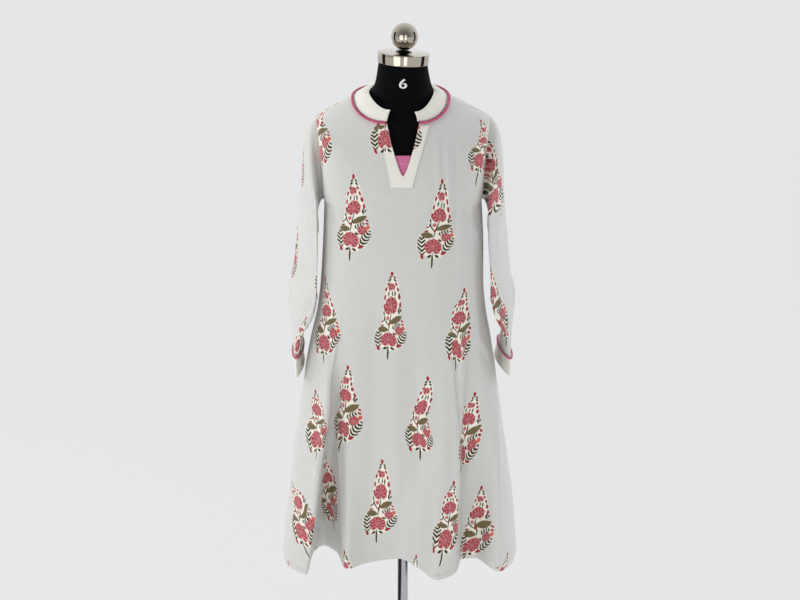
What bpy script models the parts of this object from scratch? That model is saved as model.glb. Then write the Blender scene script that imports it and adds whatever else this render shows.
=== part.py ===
"""Kurta tunic with a stand collar and a V placket, on a limbless dress form.

The tunic is cut as the real one is: front, back, two sleeves, two cuffs, a collar band, a placket
strip, three runs of piping and a small insert behind the V. It hangs from the shoulders of the form.
Metres, +Z up, +X to the wearer's left, -Y to the front. The origin is under the middle of the base.
"""
import bpy
import bmesh
from collections import namedtuple
from math import asin, cos, degrees, pi, radians, sin, tan
from mathutils import Matrix, Vector

# Cloth and seams
CLOTH = 0.0014
COLLAR_CLOTH = 0.002
STRIP_CLOTH = 0.0012
CORNER_GAP = 0.0009
ARMHOLE_GAP = 0.0015
SEAM_GAP = 0.0004
LAYER_GAP = 0.0005
PIPING_RADIUS = 0.0024
CUFF_PIPING_RADIUS = 0.0019

# Tunic
HEM_HEIGHT = 0.440
UNDERARM_HEIGHT = 1.245
NECK_HALF_WIDTH = 0.104
NECK_SIDE_HEIGHT = 1.4665
NECK_SIDE_Y = -0.012
SHOULDER_TIP_LEVEL = 0.30
SHOULDER_STEPS = 3
ARMHOLE_STEPS = 9
SKIRT_STEPS = 13
FRONT_COLUMN_STEPS = 2
BACK_COLUMN_STEPS = 2
V_TOP_HALF_WIDTH = 0.034
V_TIP_HEIGHT = 1.319
V_TIP_LEVEL = SHOULDER_TIP_LEVEL + (1.0 - SHOULDER_TIP_LEVEL) * 4 / ARMHOLE_STEPS
V_CURVE = 0.72
PLACKET_LEVELS = (0.045, 0.735)
PLACKET_HALF_WIDTHS = (0.054, 0.0235)
INSERT_LEVELS = (0.372, 0.67)
INSERT_HALF_WIDTHS = (0.029, 0.012)

# Collar band
COLLAR_TOP_HALF_WIDTH = 0.073
COLLAR_END_ANGLE = 19.0
COLLAR_BOW = 0.003

# Sleeves
SLEEVE_SIDES = 2 * ARMHOLE_STEPS
SLEEVE_RINGS = 20
CUFF_RINGS = 3
CUFF_LEVEL = 0.855
SLEEVE_END_TILT = 0.06

# Dress form and stand
FORM_SIDES = 28
NECK_TOP_HEIGHT = 1.538
NECK_TOP_RADIUS = 0.0515
NECK_ROUNDNESS = 0.96
CAP_RADIUS = 0.0545
CAP_HEIGHT = 0.022
CAP_TILT = radians(3.5)
FOOT_HEIGHT = 0.004
BALL_RADIUS = 0.0285
POLE_RADIUS = 0.0125
BASE_RADIUS = 0.170
BASE_HEIGHT = 0.012
FORM_BOTTOM = 0.735
FORM_SHOULDER_GAP = 0.0017
FORM_SEAM_DROP = 0.003
FACE_GAP = 0.0003

ChestRow = namedtuple("ChestRow", "level front_y front_z back_y back_z")
CHEST = [
    ChestRow(0.00, -0.100, 1.427, 0.080, 1.486),
    ChestRow(0.15, -0.108, 1.402, 0.087, 1.462),
    ChestRow(0.30, -0.116, 1.374, 0.095, 1.430),
    ChestRow(V_TIP_LEVEL, -0.125, V_TIP_HEIGHT, 0.104, 1.343),
    ChestRow(0.80, -0.128, 1.283, 0.107, 1.293),
    ChestRow(1.00, -0.129, 1.245, 0.107, 1.245),
]

BodyRow = namedtuple("BodyRow", "height right left front back")
BODY = [
    BodyRow(0.44, 0.276, 0.262, 0.150, 0.155),
    BodyRow(0.57, 0.259, 0.250, 0.142, 0.142),
    BodyRow(0.68, 0.246, 0.233, 0.136, 0.134),
    BodyRow(0.78, 0.230, 0.219, 0.132, 0.127),
    BodyRow(0.87, 0.217, 0.205, 0.129, 0.117),
    BodyRow(0.94, 0.203, 0.194, 0.128, 0.110),
    BodyRow(1.00, 0.189, 0.183, 0.127, 0.104),
    BodyRow(1.06, 0.181, 0.177, 0.128, 0.101),
    BodyRow(1.16, 0.174, 0.175, 0.131, 0.105),
    BodyRow(1.245, 0.170, 0.170, 0.129, 0.107),
]

# A fold runs from its start height to the hem. Share is its place across the waist, from -1 at the
# right side seam to 1 at the left one; hem_x and hem_y are its place at the hem.
Fold = namedtuple("Fold", "name share hem_x hem_y start")
FRONT_FOLDS = [
    Fold("side_right", -1.00, -0.276, -0.022, 1.00),
    Fold("bow_right", -0.95, -0.263, -0.132, 0.86),
    Fold("face_1", -0.84, -0.242, -0.168, 0.90),
    Fold("crest_1", -0.72, -0.213, -0.192, 1.00),
    Fold("flank_1", -0.69, -0.204, -0.088, 0.99),
    Fold("valley_1", -0.64, -0.180, -0.050, 0.98),
    Fold("flank_2", -0.57, -0.150, -0.085, 0.86),
    Fold("crest_2", -0.50, -0.125, -0.166, 0.78),
    Fold("panel_right", -0.32, -0.080, -0.136, 0.70),
    Fold("valley_2", -0.05, -0.012, -0.115, 0.66),
    Fold("panel_left", 0.18, 0.034, -0.160, 0.72),
    Fold("crest_3", 0.36, 0.074, -0.216, 0.84),
    Fold("flank_3", 0.53, 0.116, -0.184, 0.96),
    Fold("recess", 0.57, 0.134, -0.116, 0.98),
    Fold("valley_3", 0.73, 0.164, -0.113, 0.96),
    Fold("crest_4", 0.95, 0.215, -0.178, 0.92),
    Fold("bow_left", 0.985, 0.246, -0.132, 0.86),
    Fold("side_left", 1.00, 0.262, -0.022, 1.00),
]
BACK_FOLDS = [
    Fold("side_right", -1.00, -0.276, -0.021, 1.00),
    Fold("bow_right", -0.96, -0.262, 0.085, 0.86),
    Fold("crest_5", -0.80, -0.222, 0.165, 0.90),
    Fold("valley_5", -0.63, -0.166, 0.088, 0.95),
    Fold("crest_6", -0.44, -0.112, 0.192, 0.84),
    Fold("panel_right", -0.24, -0.058, 0.150, 0.75),
    Fold("valley_6", -0.04, -0.010, 0.122, 0.70),
    Fold("crest_7", 0.25, 0.060, 0.186, 0.80),
    Fold("valley_7", 0.50, 0.124, 0.098, 0.92),
    Fold("crest_8", 0.72, 0.178, 0.172, 0.86),
    Fold("valley_8", 0.86, 0.216, 0.104, 0.90),
    Fold("bow_left", 0.97, 0.246, 0.092, 0.84),
    Fold("side_left", 1.00, 0.262, -0.021, 1.00),
]

# A sleeve is a tube pressed flat, with a fold to the front and one to the back. A row gives the
# highest, front, lowest and back points of one section; x is measured outwards from the middle.
SleeveRow = namedtuple("SleeveRow", "level out_x out_z in_x in_z front_x front_y front_z back_x back_y back_z")
SLEEVE_CAP = [
    SleeveRow(0.00, 0.185, 1.424, 0.170, 1.247, 0.173, -0.036, 1.330, 0.174, 0.044, 1.335),
    SleeveRow(0.03, 0.1935, 1.416, 0.177, 1.243, 0.181, -0.039, 1.324, 0.183, 0.047, 1.329),
    SleeveRow(0.07, 0.2025, 1.402, 0.181, 1.236, 0.185, -0.049, 1.310, 0.191, 0.055, 1.314),
    SleeveRow(0.14, 0.211, 1.370, 0.185, 1.224, 0.186, -0.063, 1.283, 0.200, 0.064, 1.286),
    SleeveRow(0.23, 0.2155, 1.312, 0.190, 1.202, 0.184, -0.076, 1.244, 0.212, 0.071, 1.246),
]
ArmRow = namedtuple("ArmRow", "level height front_x back_x front_y back_y bulge")
SLEEVE_ARM = {
    "right": [
        ArmRow(0.36, 1.175, 0.184, 0.229, -0.078, 0.072, 0.012),
        ArmRow(0.48, 1.110, 0.185, 0.239, -0.076, 0.070, 0.011),
        ArmRow(0.58, 1.055, 0.188, 0.250, -0.074, 0.069, 0.010),
        ArmRow(0.65, 1.015, 0.196, 0.256, -0.073, 0.068, 0.011),
        ArmRow(0.73, 0.972, 0.215, 0.252, -0.070, 0.068, 0.013),
        ArmRow(0.81, 0.930, 0.230, 0.240, -0.068, 0.068, 0.011),
        ArmRow(0.88, 0.894, 0.235, 0.233, -0.066, 0.068, 0.008),
        ArmRow(1.00, 0.858, 0.235, 0.227, -0.064, 0.070, 0.007),
    ],
    "left": [
        ArmRow(0.36, 1.175, 0.185, 0.225, -0.078, 0.072, 0.012),
        ArmRow(0.48, 1.110, 0.189, 0.233, -0.076, 0.070, 0.011),
        ArmRow(0.58, 1.055, 0.193, 0.243, -0.074, 0.069, 0.010),
        ArmRow(0.65, 1.015, 0.202, 0.250, -0.073, 0.068, 0.011),
        ArmRow(0.73, 0.972, 0.219, 0.244, -0.070, 0.068, 0.013),
        ArmRow(0.81, 0.930, 0.231, 0.230, -0.068, 0.068, 0.011),
        ArmRow(0.88, 0.894, 0.236, 0.218, -0.066, 0.070, 0.008),
        ArmRow(1.00, 0.862, 0.237, 0.210, -0.064, 0.074, 0.007),
    ],
}

FormRow = namedtuple("FormRow", "height half_width front back")
FORM_BODY = [
    FormRow(0.735, 0.120, 0.060, 0.078),
    FormRow(0.742, 0.136, 0.074, 0.092),
    FormRow(0.765, 0.150, 0.085, 0.104),
    FormRow(0.82, 0.160, 0.092, 0.108),
    FormRow(0.88, 0.160, 0.092, 0.104),
    FormRow(0.96, 0.146, 0.086, 0.092),
    FormRow(1.04, 0.128, 0.080, 0.078),
    FormRow(1.12, 0.136, 0.090, 0.082),
    FormRow(1.20, 0.148, 0.108, 0.090),
]
# The share of the way from the collar seam up to the neck's top, and the half width there.
FORM_NECK = [(0.004, 0.0840), (0.03, 0.0725), (0.13, 0.0660), (0.45, 0.0630), (0.76, 0.0555), (1.00, NECK_TOP_RADIUS)]
FORM_CHEST_LEVELS = (0.92, 0.75, 0.55, 0.40, 0.30, 0.20, 0.10, 0.0)

# Finishes: colour, roughness, metallic
FINISHES = {
    "printed_cotton": ((0.80, 0.80, 0.78), 0.85, 0.0),
    "plain_cotton": ((0.84, 0.83, 0.80), 0.85, 0.0),
    "rose_piping": ((0.55, 0.10, 0.16), 0.60, 0.0),
    "pink_cotton": ((0.55, 0.16, 0.30), 0.80, 0.0),
    "form_jersey": ((0.010, 0.010, 0.012), 0.75, 0.0),
    "chrome": ((0.75, 0.73, 0.70), 0.15, 1.0),
    "black_metal": ((0.02, 0.02, 0.02), 0.40, 0.6),
}


def clear_scene():
    for thing in list(bpy.data.objects):
        bpy.data.objects.remove(thing, do_unlink=True)


def finish(name):
    found = bpy.data.materials.get(name)
    if found:
        return found
    colour, roughness, metallic = FINISHES[name]
    made = bpy.data.materials.new(name)
    made.use_nodes = True
    shader = made.node_tree.nodes["Principled BSDF"]
    shader.inputs["Base Color"].default_value = (*colour, 1.0)
    shader.inputs["Roughness"].default_value = roughness
    shader.inputs["Metallic"].default_value = metallic
    return made


def add_object(name, data, finish_name, home):
    piece = bpy.data.objects.new(name, data)
    home.objects.link(piece)
    data.materials.append(finish(finish_name))
    return piece


def mix(a, b, share):
    return a + (b - a) * share


def ease(value):
    value = min(1.0, max(0.0, value))
    return value * value * (3.0 - 2.0 * value)


def read_curve(places, values, at):
    """A smooth curve through the values, with no overshoot between them."""
    last = len(places) - 1
    if at <= places[0]:
        return values[0]
    if at >= places[last]:
        return values[last]
    steps = [(values[i + 1] - values[i]) / (places[i + 1] - places[i]) for i in range(last)]

    def slope(i):
        if i == 0:
            return steps[0]
        if i == last:
            return steps[-1]
        before, after = steps[i - 1], steps[i]
        return 0.0 if before * after <= 0.0 else 2.0 * before * after / (before + after)

    i = 0
    while places[i + 1] < at:
        i += 1
    width = places[i + 1] - places[i]
    q = (at - places[i]) / width
    start = values[i] * (1.0 + 2.0 * q) * (1.0 - q) ** 2 + slope(i) * width * q * (1.0 - q) ** 2
    end = values[i + 1] * q * q * (3.0 - 2.0 * q) + slope(i + 1) * width * q * q * (q - 1.0)
    return start + end


def read_table(table, key, value, at):
    return read_curve([getattr(row, key) for row in table], [getattr(row, value) for row in table], at)


def sleeve_rows(side):
    """Every section of a sleeve, the pressed arm's rows written out in full."""
    rows = list(SLEEVE_CAP)
    for arm in SLEEVE_ARM[side]:
        middle = (arm.front_x + arm.back_x) / 2
        front_z = arm.height + SLEEVE_END_TILT * arm.front_y
        back_z = arm.height + SLEEVE_END_TILT * arm.back_y
        out_x = middle + arm.bulge
        in_x = middle - arm.bulge
        rows.append(SleeveRow(arm.level, out_x, arm.height, in_x, arm.height, arm.front_x, arm.front_y,
                              front_z, arm.back_x, arm.back_y, back_z))
    return rows


ALL_SLEEVE_ROWS = {side: sleeve_rows(side) for side in ("right", "left")}


def sleeve_point(side, level, turn):
    """A point of a sleeve: turn is 0 at the top, 90 at the front fold, 180 below, 270 at the back."""
    rows = ALL_SLEEVE_ROWS[side]
    got = {name: read_table(rows, "level", name, level) for name in SleeveRow._fields[1:]}
    sign = 1.0 if side == "left" else -1.0
    front = Vector((got["front_x"], got["front_y"], got["front_z"]))
    back = Vector((got["back_x"], got["back_y"], got["back_z"]))
    middle = (front + back) / 2
    top = Vector((got["out_x"], mix(0.004, middle.y, min(1.0, level * 4)), got["out_z"]))
    bottom = Vector((got["in_x"], mix(0.0, middle.y, min(1.0, level * 4)), got["in_z"]))
    rise = cos(radians(turn))
    flatness = mix(1.0, 1.5, ease(level * 2.5))
    across = (front - back) / 2 * sin(radians(turn))
    upright = (top - middle) if rise > 0 else (middle - bottom)
    point = middle + across + upright * (abs(rise) ** flatness * (1 if rise > 0 else -1))
    return Vector((sign * point.x, point.y, point.z))


def edge_point(side, front, level):
    """The outer edge of a body panel: shoulder seam, then armhole."""
    sign = 1.0 if side == "left" else -1.0
    shift = -CORNER_GAP / 2 if front else CORNER_GAP / 2
    if level <= SHOULDER_TIP_LEVEL:
        along = level / SHOULDER_TIP_LEVEL
        neck = Vector((sign * NECK_HALF_WIDTH, NECK_SIDE_Y, NECK_SIDE_HEIGHT))
        point = neck.lerp(sleeve_point(side, 0.0, 0.0), along)
        point.z += 0.003 * sin(pi * along)
    else:
        down = 180.0 * (level - SHOULDER_TIP_LEVEL) / (1.0 - SHOULDER_TIP_LEVEL)
        point = sleeve_point(side, 0.0, down if front else 360.0 - down)
    return point + Vector((0.0, shift, 0.0))


def v_half_width(height):
    if height <= V_TIP_HEIGHT:
        return 0.0
    full = CHEST[0].front_z - V_TIP_HEIGHT
    return V_TOP_HALF_WIDTH * min(1.0, (height - V_TIP_HEIGHT) / full) ** V_CURVE


def chest_point(front, share, level):
    """A point of the body above the underarm; share runs across, level from the neck down."""
    side = "left" if share >= 0 else "right"
    edge = edge_point(side, front, level)
    middle_y = read_table(CHEST, "level", "front_y" if front else "back_y", level)
    middle_z = read_table(CHEST, "level", "front_z" if front else "back_z", level)
    power = mix(2.0, 2.6, ease(level))
    s = min(1.0, abs(share))
    bow = (1.0 - s ** power) ** (1.0 / power)
    turned = degrees(asin(s))
    if front:
        steep = max(0.0, (turned - 28.0) / 62.0) ** 1.6
        rounded = ease((turned - 18.0) / 72.0)
        lift = mix(steep, rounded, ease(level / SHOULDER_TIP_LEVEL))
    else:
        lift = mix(1.0 - cos(radians(turned)), ease((turned - 12.0) / 78.0), ease(level / SHOULDER_TIP_LEVEL))
    return Vector((edge.x * s, mix(edge.y, middle_y, bow), mix(middle_z, edge.z, lift)))


def body_value(name, height):
    return read_table(BODY, "height", name, height)


def body_outline(front, share, height):
    half = body_value("left" if share >= 0 else "right", height)
    depth = -body_value("front", height) if front else body_value("back", height)
    return half * share, depth * (1.0 - abs(share) ** 2.6) ** (1.0 / 2.6)


def fold_growth(fold, height):
    down = (fold.start - height) / (fold.start - HEM_HEIGHT)
    return max(0.0, down) ** 1.35


def skirt_point(front, place, height):
    """A point below the underarm; place counts the folds across, 0 at the right side seam."""
    folds = FRONT_FOLDS if front else BACK_FOLDS
    places = list(range(len(folds)))
    drift = max(0.0, (1.0 - height) / (1.0 - HEM_HEIGHT)) ** 1.6
    shares = []
    pushes = []
    for fold in folds:
        hem_share = fold.hem_x / (BODY[0].left if fold.hem_x >= 0 else BODY[0].right)
        shares.append(mix(fold.share, hem_share, drift))
        pushes.append((fold.hem_y - body_outline(front, hem_share, HEM_HEIGHT)[1]) * fold_growth(fold, height))
    share = max(-1.0, min(1.0, read_curve(places, shares, place)))
    x, y = body_outline(front, share, height)
    seam = (-SEAM_GAP if front else SEAM_GAP) / 2 if place in (places[0], places[-1]) else 0.0
    return Vector((x, y + read_curve(places, pushes, place) + seam, height))


def panel_levels():
    """The heights of a body panel's rows: levels down to the underarm, then heights to the hem."""
    chest = [SHOULDER_TIP_LEVEL * i / SHOULDER_STEPS for i in range(SHOULDER_STEPS)]
    drop = 1.0 - SHOULDER_TIP_LEVEL
    chest += [SHOULDER_TIP_LEVEL + drop * i / ARMHOLE_STEPS for i in range(ARMHOLE_STEPS + 1)]
    fall = UNDERARM_HEIGHT - HEM_HEIGHT
    skirt = [UNDERARM_HEIGHT - fall * (i + 1) / SKIRT_STEPS for i in range(SKIRT_STEPS)]
    return chest, skirt


def panel_columns(folds, steps):
    """Places across a panel, at every fold and between, with one on the centre line."""
    places = [i + k / steps for i in range(len(folds) - 1) for k in range(steps)] + [float(len(folds) - 1)]
    shares = [fold.share for fold in folds]
    low, high = 0.0, places[-1]
    for _ in range(40):
        middle = (low + high) / 2
        if read_curve(range(len(folds)), shares, middle) < 0.0:
            low = middle
        else:
            high = middle
    nearest = min(range(len(places)), key=lambda i: abs(places[i] - low))
    places[nearest] = low
    return places, nearest


def add_grid(bm, columns, rows, place):
    """A grid of vertices, each moved to the point that place gives for its column and row."""
    made = bmesh.ops.create_grid(bm, x_segments=columns - 1, y_segments=rows - 1, size=1.0)["verts"]
    for vertex in made:
        column = round((vertex.co.x + 1.0) / 2.0 * (columns - 1))
        row = round((vertex.co.y + 1.0) / 2.0 * (rows - 1))
        vertex.co = place(column, row)


def add_sheet(name, bm, finish_name, thickness, home):
    """A mesh object from the grids in bm, given its cloth thickness by Solidify."""
    bmesh.ops.remove_doubles(bm, verts=bm.verts, dist=0.00002)
    bmesh.ops.recalc_face_normals(bm, faces=bm.faces)
    data = bpy.data.meshes.new(name)
    bm.to_mesh(data)
    bm.free()
    data.shade_smooth()
    piece = add_object(name, data, finish_name, home)
    wall = piece.modifiers.new("cloth", "SOLIDIFY")
    wall.thickness = thickness
    wall.offset = 0.0
    return piece


def slit_share(share, side, level):
    """The share of a front column, moved out of the V opening above its tip."""
    middle_z = read_table(CHEST, "level", "front_z", level)
    edge = edge_point(side, True, level)
    open_share = v_half_width(middle_z) / abs(edge.x)
    sign = 1.0 if side == "left" else -1.0
    return sign * (open_share + (1.0 - open_share) * abs(share))


def front_panel(home):
    places, middle = panel_columns(FRONT_FOLDS, FRONT_COLUMN_STEPS)
    fold_shares = [fold.share for fold in FRONT_FOLDS]
    shares = [read_curve(range(len(FRONT_FOLDS)), fold_shares, place) for place in places]
    shares[middle] = 0.0
    chest, skirt = panel_levels()
    bm = bmesh.new()
    for side, first, last in (("right", 0, middle), ("left", middle, len(places) - 1)):

        def place(column, row, side=side, first=first):
            if row < len(chest):
                level = chest[row]
                return chest_point(True, slit_share(shares[first + column], side, level), level)
            return skirt_point(True, places[first + column], skirt[row - len(chest)])

        add_grid(bm, last - first + 1, len(chest) + len(skirt), place)
    return add_sheet("front_panel", bm, "printed_cotton", CLOTH, home)


def back_panel(home):
    places, middle = panel_columns(BACK_FOLDS, BACK_COLUMN_STEPS)
    fold_shares = [fold.share for fold in BACK_FOLDS]
    shares = [read_curve(range(len(BACK_FOLDS)), fold_shares, place) for place in places]
    chest, skirt = panel_levels()

    def place(column, row):
        if row < len(chest):
            return chest_point(False, shares[column], chest[row])
        return skirt_point(False, places[column], skirt[row - len(chest)])

    bm = bmesh.new()
    add_grid(bm, len(places), len(chest) + len(skirt), place)
    return add_sheet("back_panel", bm, "printed_cotton", CLOTH, home)


def sleeve(side, home):
    """The sleeve from the armhole to the top of its cuff."""
    turn = 360.0 / SLEEVE_SIDES

    def place(column, row):
        angle = turn * (column % SLEEVE_SIDES)
        level = (CUFF_LEVEL - 0.004) * (row / (SLEEVE_RINGS - 1)) ** 1.15
        point = sleeve_point(side, level, angle)
        if row == 0:
            point.x += ARMHOLE_GAP if side == "left" else -ARMHOLE_GAP
        return point

    bm = bmesh.new()
    add_grid(bm, SLEEVE_SIDES + 1, SLEEVE_RINGS, place)
    return add_sheet("sleeve_" + side, bm, "printed_cotton", CLOTH, home)


def cuff(side, home):
    turn = 360.0 / SLEEVE_SIDES

    def place(column, row):
        level = mix(CUFF_LEVEL - 0.002, 1.0, row / (CUFF_RINGS - 1))
        return sleeve_point(side, level, turn * (column % SLEEVE_SIDES))

    bm = bmesh.new()
    add_grid(bm, SLEEVE_SIDES + 1, CUFF_RINGS, place)
    return add_sheet("cuff_" + side, bm, "plain_cotton", CLOTH, home)


def outward(point, before, after, along):
    """The unit normal of a sheet from three neighbouring differences, turned away from the axis."""
    normal = (after - before).cross(along - point).normalized()
    away = Vector((point.x, point.y, 0.0))
    return normal if normal.dot(away) > 0 else -normal


def tube(name, route, radius, closed, finish_name, home):
    data = bpy.data.curves.new(name, "CURVE")
    data.dimensions = "3D"
    data.bevel_depth = radius
    data.bevel_resolution = 1
    data.use_fill_caps = not closed
    spline = data.splines.new("POLY")
    spline.points.add(len(route) - 1)
    for target, point in zip(spline.points, route):
        target.co = (*point, 1.0)
    spline.use_cyclic_u = closed
    return add_object(name, data, finish_name, home)


def cuff_piping(side, home):
    """A corded edge round the sleeve where the cuff joins it."""
    sign = 1.0 if side == "left" else -1.0
    count = 2 * SLEEVE_SIDES
    route = []
    for i in range(count):
        angle = 360.0 * i / count
        point = sleeve_point(side, CUFF_LEVEL, angle)
        before = sleeve_point(side, CUFF_LEVEL, angle - 4.0)
        after = sleeve_point(side, CUFF_LEVEL, angle + 4.0)
        tangent = (after - before).normalized()
        normal = tangent.cross(Vector((0.0, 0.0, 1.0))).normalized()
        middle = (sleeve_point(side, CUFF_LEVEL, 90.0) + sleeve_point(side, CUFF_LEVEL, 270.0)) / 2
        if normal.dot(point - middle) < 0:
            normal = -normal
        route.append(point + normal * (CLOTH / 2 + LAYER_GAP + CUFF_PIPING_RADIUS))
    return tube("cuff_piping_" + side, route, CUFF_PIPING_RADIUS, True, "rose_piping", home)


def ring_point(angle, level):
    """A point of the body round the neck: angle runs from the front centre, positive to the left."""
    share = sin(radians(angle))
    return chest_point(abs(angle) <= 90.0, share, level)


def neck_piping(home):
    """The corded edge in the collar seam, laid just below it on the panels."""
    steps = 46
    start = COLLAR_END_ANGLE
    route = []
    for i in range(steps + 1):
        angle = mix(start, 360.0 - start, i / steps)
        angle = angle if angle <= 180.0 else angle - 360.0
        level = mix(0.024, 0.013, abs(sin(radians(angle))))
        point = ring_point(angle, level)
        normal = outward(point, ring_point(angle - 2.0, level), ring_point(angle + 2.0, level),
                         ring_point(angle, level + 0.02))
        if normal.z < 0:
            normal = -normal
        route.append(point + normal * (CLOTH / 2 + LAYER_GAP + PIPING_RADIUS))
    return tube("collar_piping", route, PIPING_RADIUS, False, "rose_piping", home)


def collar_top_point(angle):
    """The collar's upper edge, angle measured as on the neckline from 0 to 180."""
    if angle < 90.0:
        turned = mix(21.7, 90.0, (angle - COLLAR_END_ANGLE) / (90.0 - COLLAR_END_ANGLE))
        z = mix(1.454, 1.478, ease((turned - 25.0) / 65.0))
    else:
        turned = angle
        z = mix(1.478, 1.508, ease((turned - 90.0) / 90.0))
    reach = 0.076 if turned < 90.0 else 0.084
    return Vector((COLLAR_TOP_HALF_WIDTH * sin(radians(turned)), -0.014 - reach * cos(radians(turned)), z))


def collar_band(home):
    """The stand collar: a band from the neckline up and in, open at the front."""
    columns = 31
    rows = 4

    def place(column, row):
        turn = mix(COLLAR_END_ANGLE, 360.0 - COLLAR_END_ANGLE, column / (columns - 1))
        side = 1.0 if turn <= 180.0 else -1.0
        angle = turn if turn <= 180.0 else 360.0 - turn
        low = ring_point(angle, 0.0)
        high = collar_top_point(angle)
        low = low + (high - low).normalized() * (CLOTH / 2 + LAYER_GAP) + Vector((0.0, 0.0, LAYER_GAP))
        up = row / (rows - 1)
        point = low.lerp(high, up)
        point.z += COLLAR_BOW * sin(pi * up)
        return Vector((side * point.x, point.y, point.z))

    bm = bmesh.new()
    add_grid(bm, columns, rows, place)
    return add_sheet("collar_band", bm, "plain_cotton", COLLAR_CLOTH, home)


def on_front(x, level, lift):
    """A point over the front panel at x, lifted along the panel's normal."""
    side = "left" if x >= 0 else "right"
    half = abs(edge_point(side, True, level).x)
    point = chest_point(True, x / half, level)
    across = chest_point(True, (x + 0.004) / half, level) - chest_point(True, (x - 0.004) / half, level)
    down = chest_point(True, x / half, min(1.0, level + 0.02)) - chest_point(True, x / half, level - 0.02)
    normal = across.cross(down).normalized()
    if normal.y > 0:
        normal = -normal
    return point + normal * lift


def placket_band(home):
    """The strip that finishes the V: two arms and a square foot below its tip."""
    top, foot = PLACKET_LEVELS
    levels = [top, 0.10, 0.20, 0.30] + [V_TIP_LEVEL - 0.233 * k / 3 for k in (2, 1, 0)] + [0.67, foot]
    lift = CLOTH / 2 + LAYER_GAP + STRIP_CLOTH / 2
    bm = bmesh.new()
    columns = 4
    for sign in (-1.0, 1.0):

        def place(column, row, sign=sign):
            level = levels[row]
            inner = v_half_width(read_table(CHEST, "level", "front_z", level))
            outer = read_curve((top, 0.33, foot), (PLACKET_HALF_WIDTHS[0], 0.0395, PLACKET_HALF_WIDTHS[1]), level)
            return on_front(sign * mix(inner, outer, column / (columns - 1)), level, lift)

        add_grid(bm, columns, len(levels), place)
    return add_sheet("placket_band", bm, "printed_cotton", STRIP_CLOTH, home)


def v_insert(home):
    """The small straight piece sewn behind the foot of the V."""
    top, foot = INSERT_LEVELS
    columns = 7
    rows = 5
    drop = -(CLOTH / 2 + LAYER_GAP + STRIP_CLOTH / 2)

    def place(column, row):
        level = mix(top, foot, row / (rows - 1))
        half = mix(*INSERT_HALF_WIDTHS, row / (rows - 1))
        return on_front(half * (2.0 * column / (columns - 1) - 1.0), level, drop)

    bm = bmesh.new()
    add_grid(bm, columns, rows, place)
    return add_sheet("v_insert", bm, "pink_cotton", STRIP_CLOTH, home)


def form_ring(angle, step):
    """A point of the dress form: the step counts its rings from the bottom up."""
    share = sin(radians(angle))
    front = cos(radians(angle)) >= 0.0
    if step < len(FORM_BODY):
        row = FORM_BODY[step]
        depth = -row.front if front else row.back
        return Vector((row.half_width * share, depth * (1.0 - abs(share) ** 2.4) ** (1.0 / 2.4), row.height))
    step -= len(FORM_BODY)
    if step < len(FORM_CHEST_LEVELS):
        return form_chest(share, front, FORM_CHEST_LEVELS[step])
    up, half = FORM_NECK[step - len(FORM_CHEST_LEVELS)]
    seam = form_chest(share, front, 0.0)
    lean = -NECK_TOP_RADIUS * tan(CAP_TILT) * share
    height = mix(seam.z, NECK_TOP_HEIGHT + lean * up, up)
    middle_y = mix(-0.009, 0.0, up)
    return Vector((half * share, middle_y - half * NECK_ROUNDNESS * cos(radians(angle)), height))


def form_chest(share, front, level):
    """The form under the cloth: close below the shoulder seam, further in at chest and armhole."""
    cloth = chest_point(front, share, level)
    narrow = mix(1.0, 0.905, ease((level - 0.16) / 0.14))
    sink = mix(FORM_SHOULDER_GAP, 0.016, ease((level - 0.16) / 0.14) * ease((abs(share) - 0.5) / 0.5))
    sink += FORM_SEAM_DROP * max(0.0, 1.0 - level / 0.1)
    chest = mix(0.0, 0.085, ease((1.0 - abs(share)) * 2.5))
    return Vector((cloth.x * narrow, cloth.y * (1.0 - chest), cloth.z - sink))


def dress_form(home):
    rings = len(FORM_BODY) + len(FORM_CHEST_LEVELS) + len(FORM_NECK)
    bm = bmesh.new()

    def place(column, row):
        return form_ring(360.0 * (column % FORM_SIDES) / FORM_SIDES, row)

    add_grid(bm, FORM_SIDES + 1, rings, place)
    bmesh.ops.remove_doubles(bm, verts=bm.verts, dist=0.00002)
    bmesh.ops.holes_fill(bm, edges=[edge for edge in bm.edges if edge.is_boundary], sides=0)
    bmesh.ops.recalc_face_normals(bm, faces=bm.faces)
    data = bpy.data.meshes.new("dress_form")
    bm.to_mesh(data)
    bm.free()
    data.shade_smooth()
    return add_object("dress_form", data, "form_jersey", home)


def add_cylinder(name, radius, low, high, sides, bevel, finish_name, home, tilt=0.0, top_radius=None):
    """An upright round piece between two heights, its rims bevelled."""
    bm = bmesh.new()
    bmesh.ops.create_cone(bm, cap_ends=True, segments=sides, radius1=radius,
                          radius2=radius if top_radius is None else top_radius, depth=high - low)
    rims = [edge for edge in bm.edges if abs(edge.verts[0].co.z - edge.verts[1].co.z) < 1e-6]
    if bevel:
        bmesh.ops.bevel(bm, geom=rims, offset=bevel, segments=1, affect="EDGES", profile=0.5)
    bmesh.ops.translate(bm, verts=bm.verts, vec=(0.0, 0.0, (low + high) / 2))
    if tilt:
        pivot = Matrix.Translation((0.0, 0.0, NECK_TOP_HEIGHT))
        turn = pivot @ Matrix.Rotation(tilt, 4, "Y") @ pivot.inverted()
        bmesh.ops.transform(bm, matrix=turn, verts=bm.verts)
    data = bpy.data.meshes.new(name)
    bm.to_mesh(data)
    bm.free()
    data.shade_smooth()
    data.set_sharp_from_angle(angle=radians(40))
    return add_object(name, data, finish_name, home)


def neck_cap(home):
    low = NECK_TOP_HEIGHT + FACE_GAP
    return add_cylinder("neck_cap", CAP_RADIUS, low, low + CAP_HEIGHT, 36, 0.0012, "chrome", home, CAP_TILT)


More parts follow.
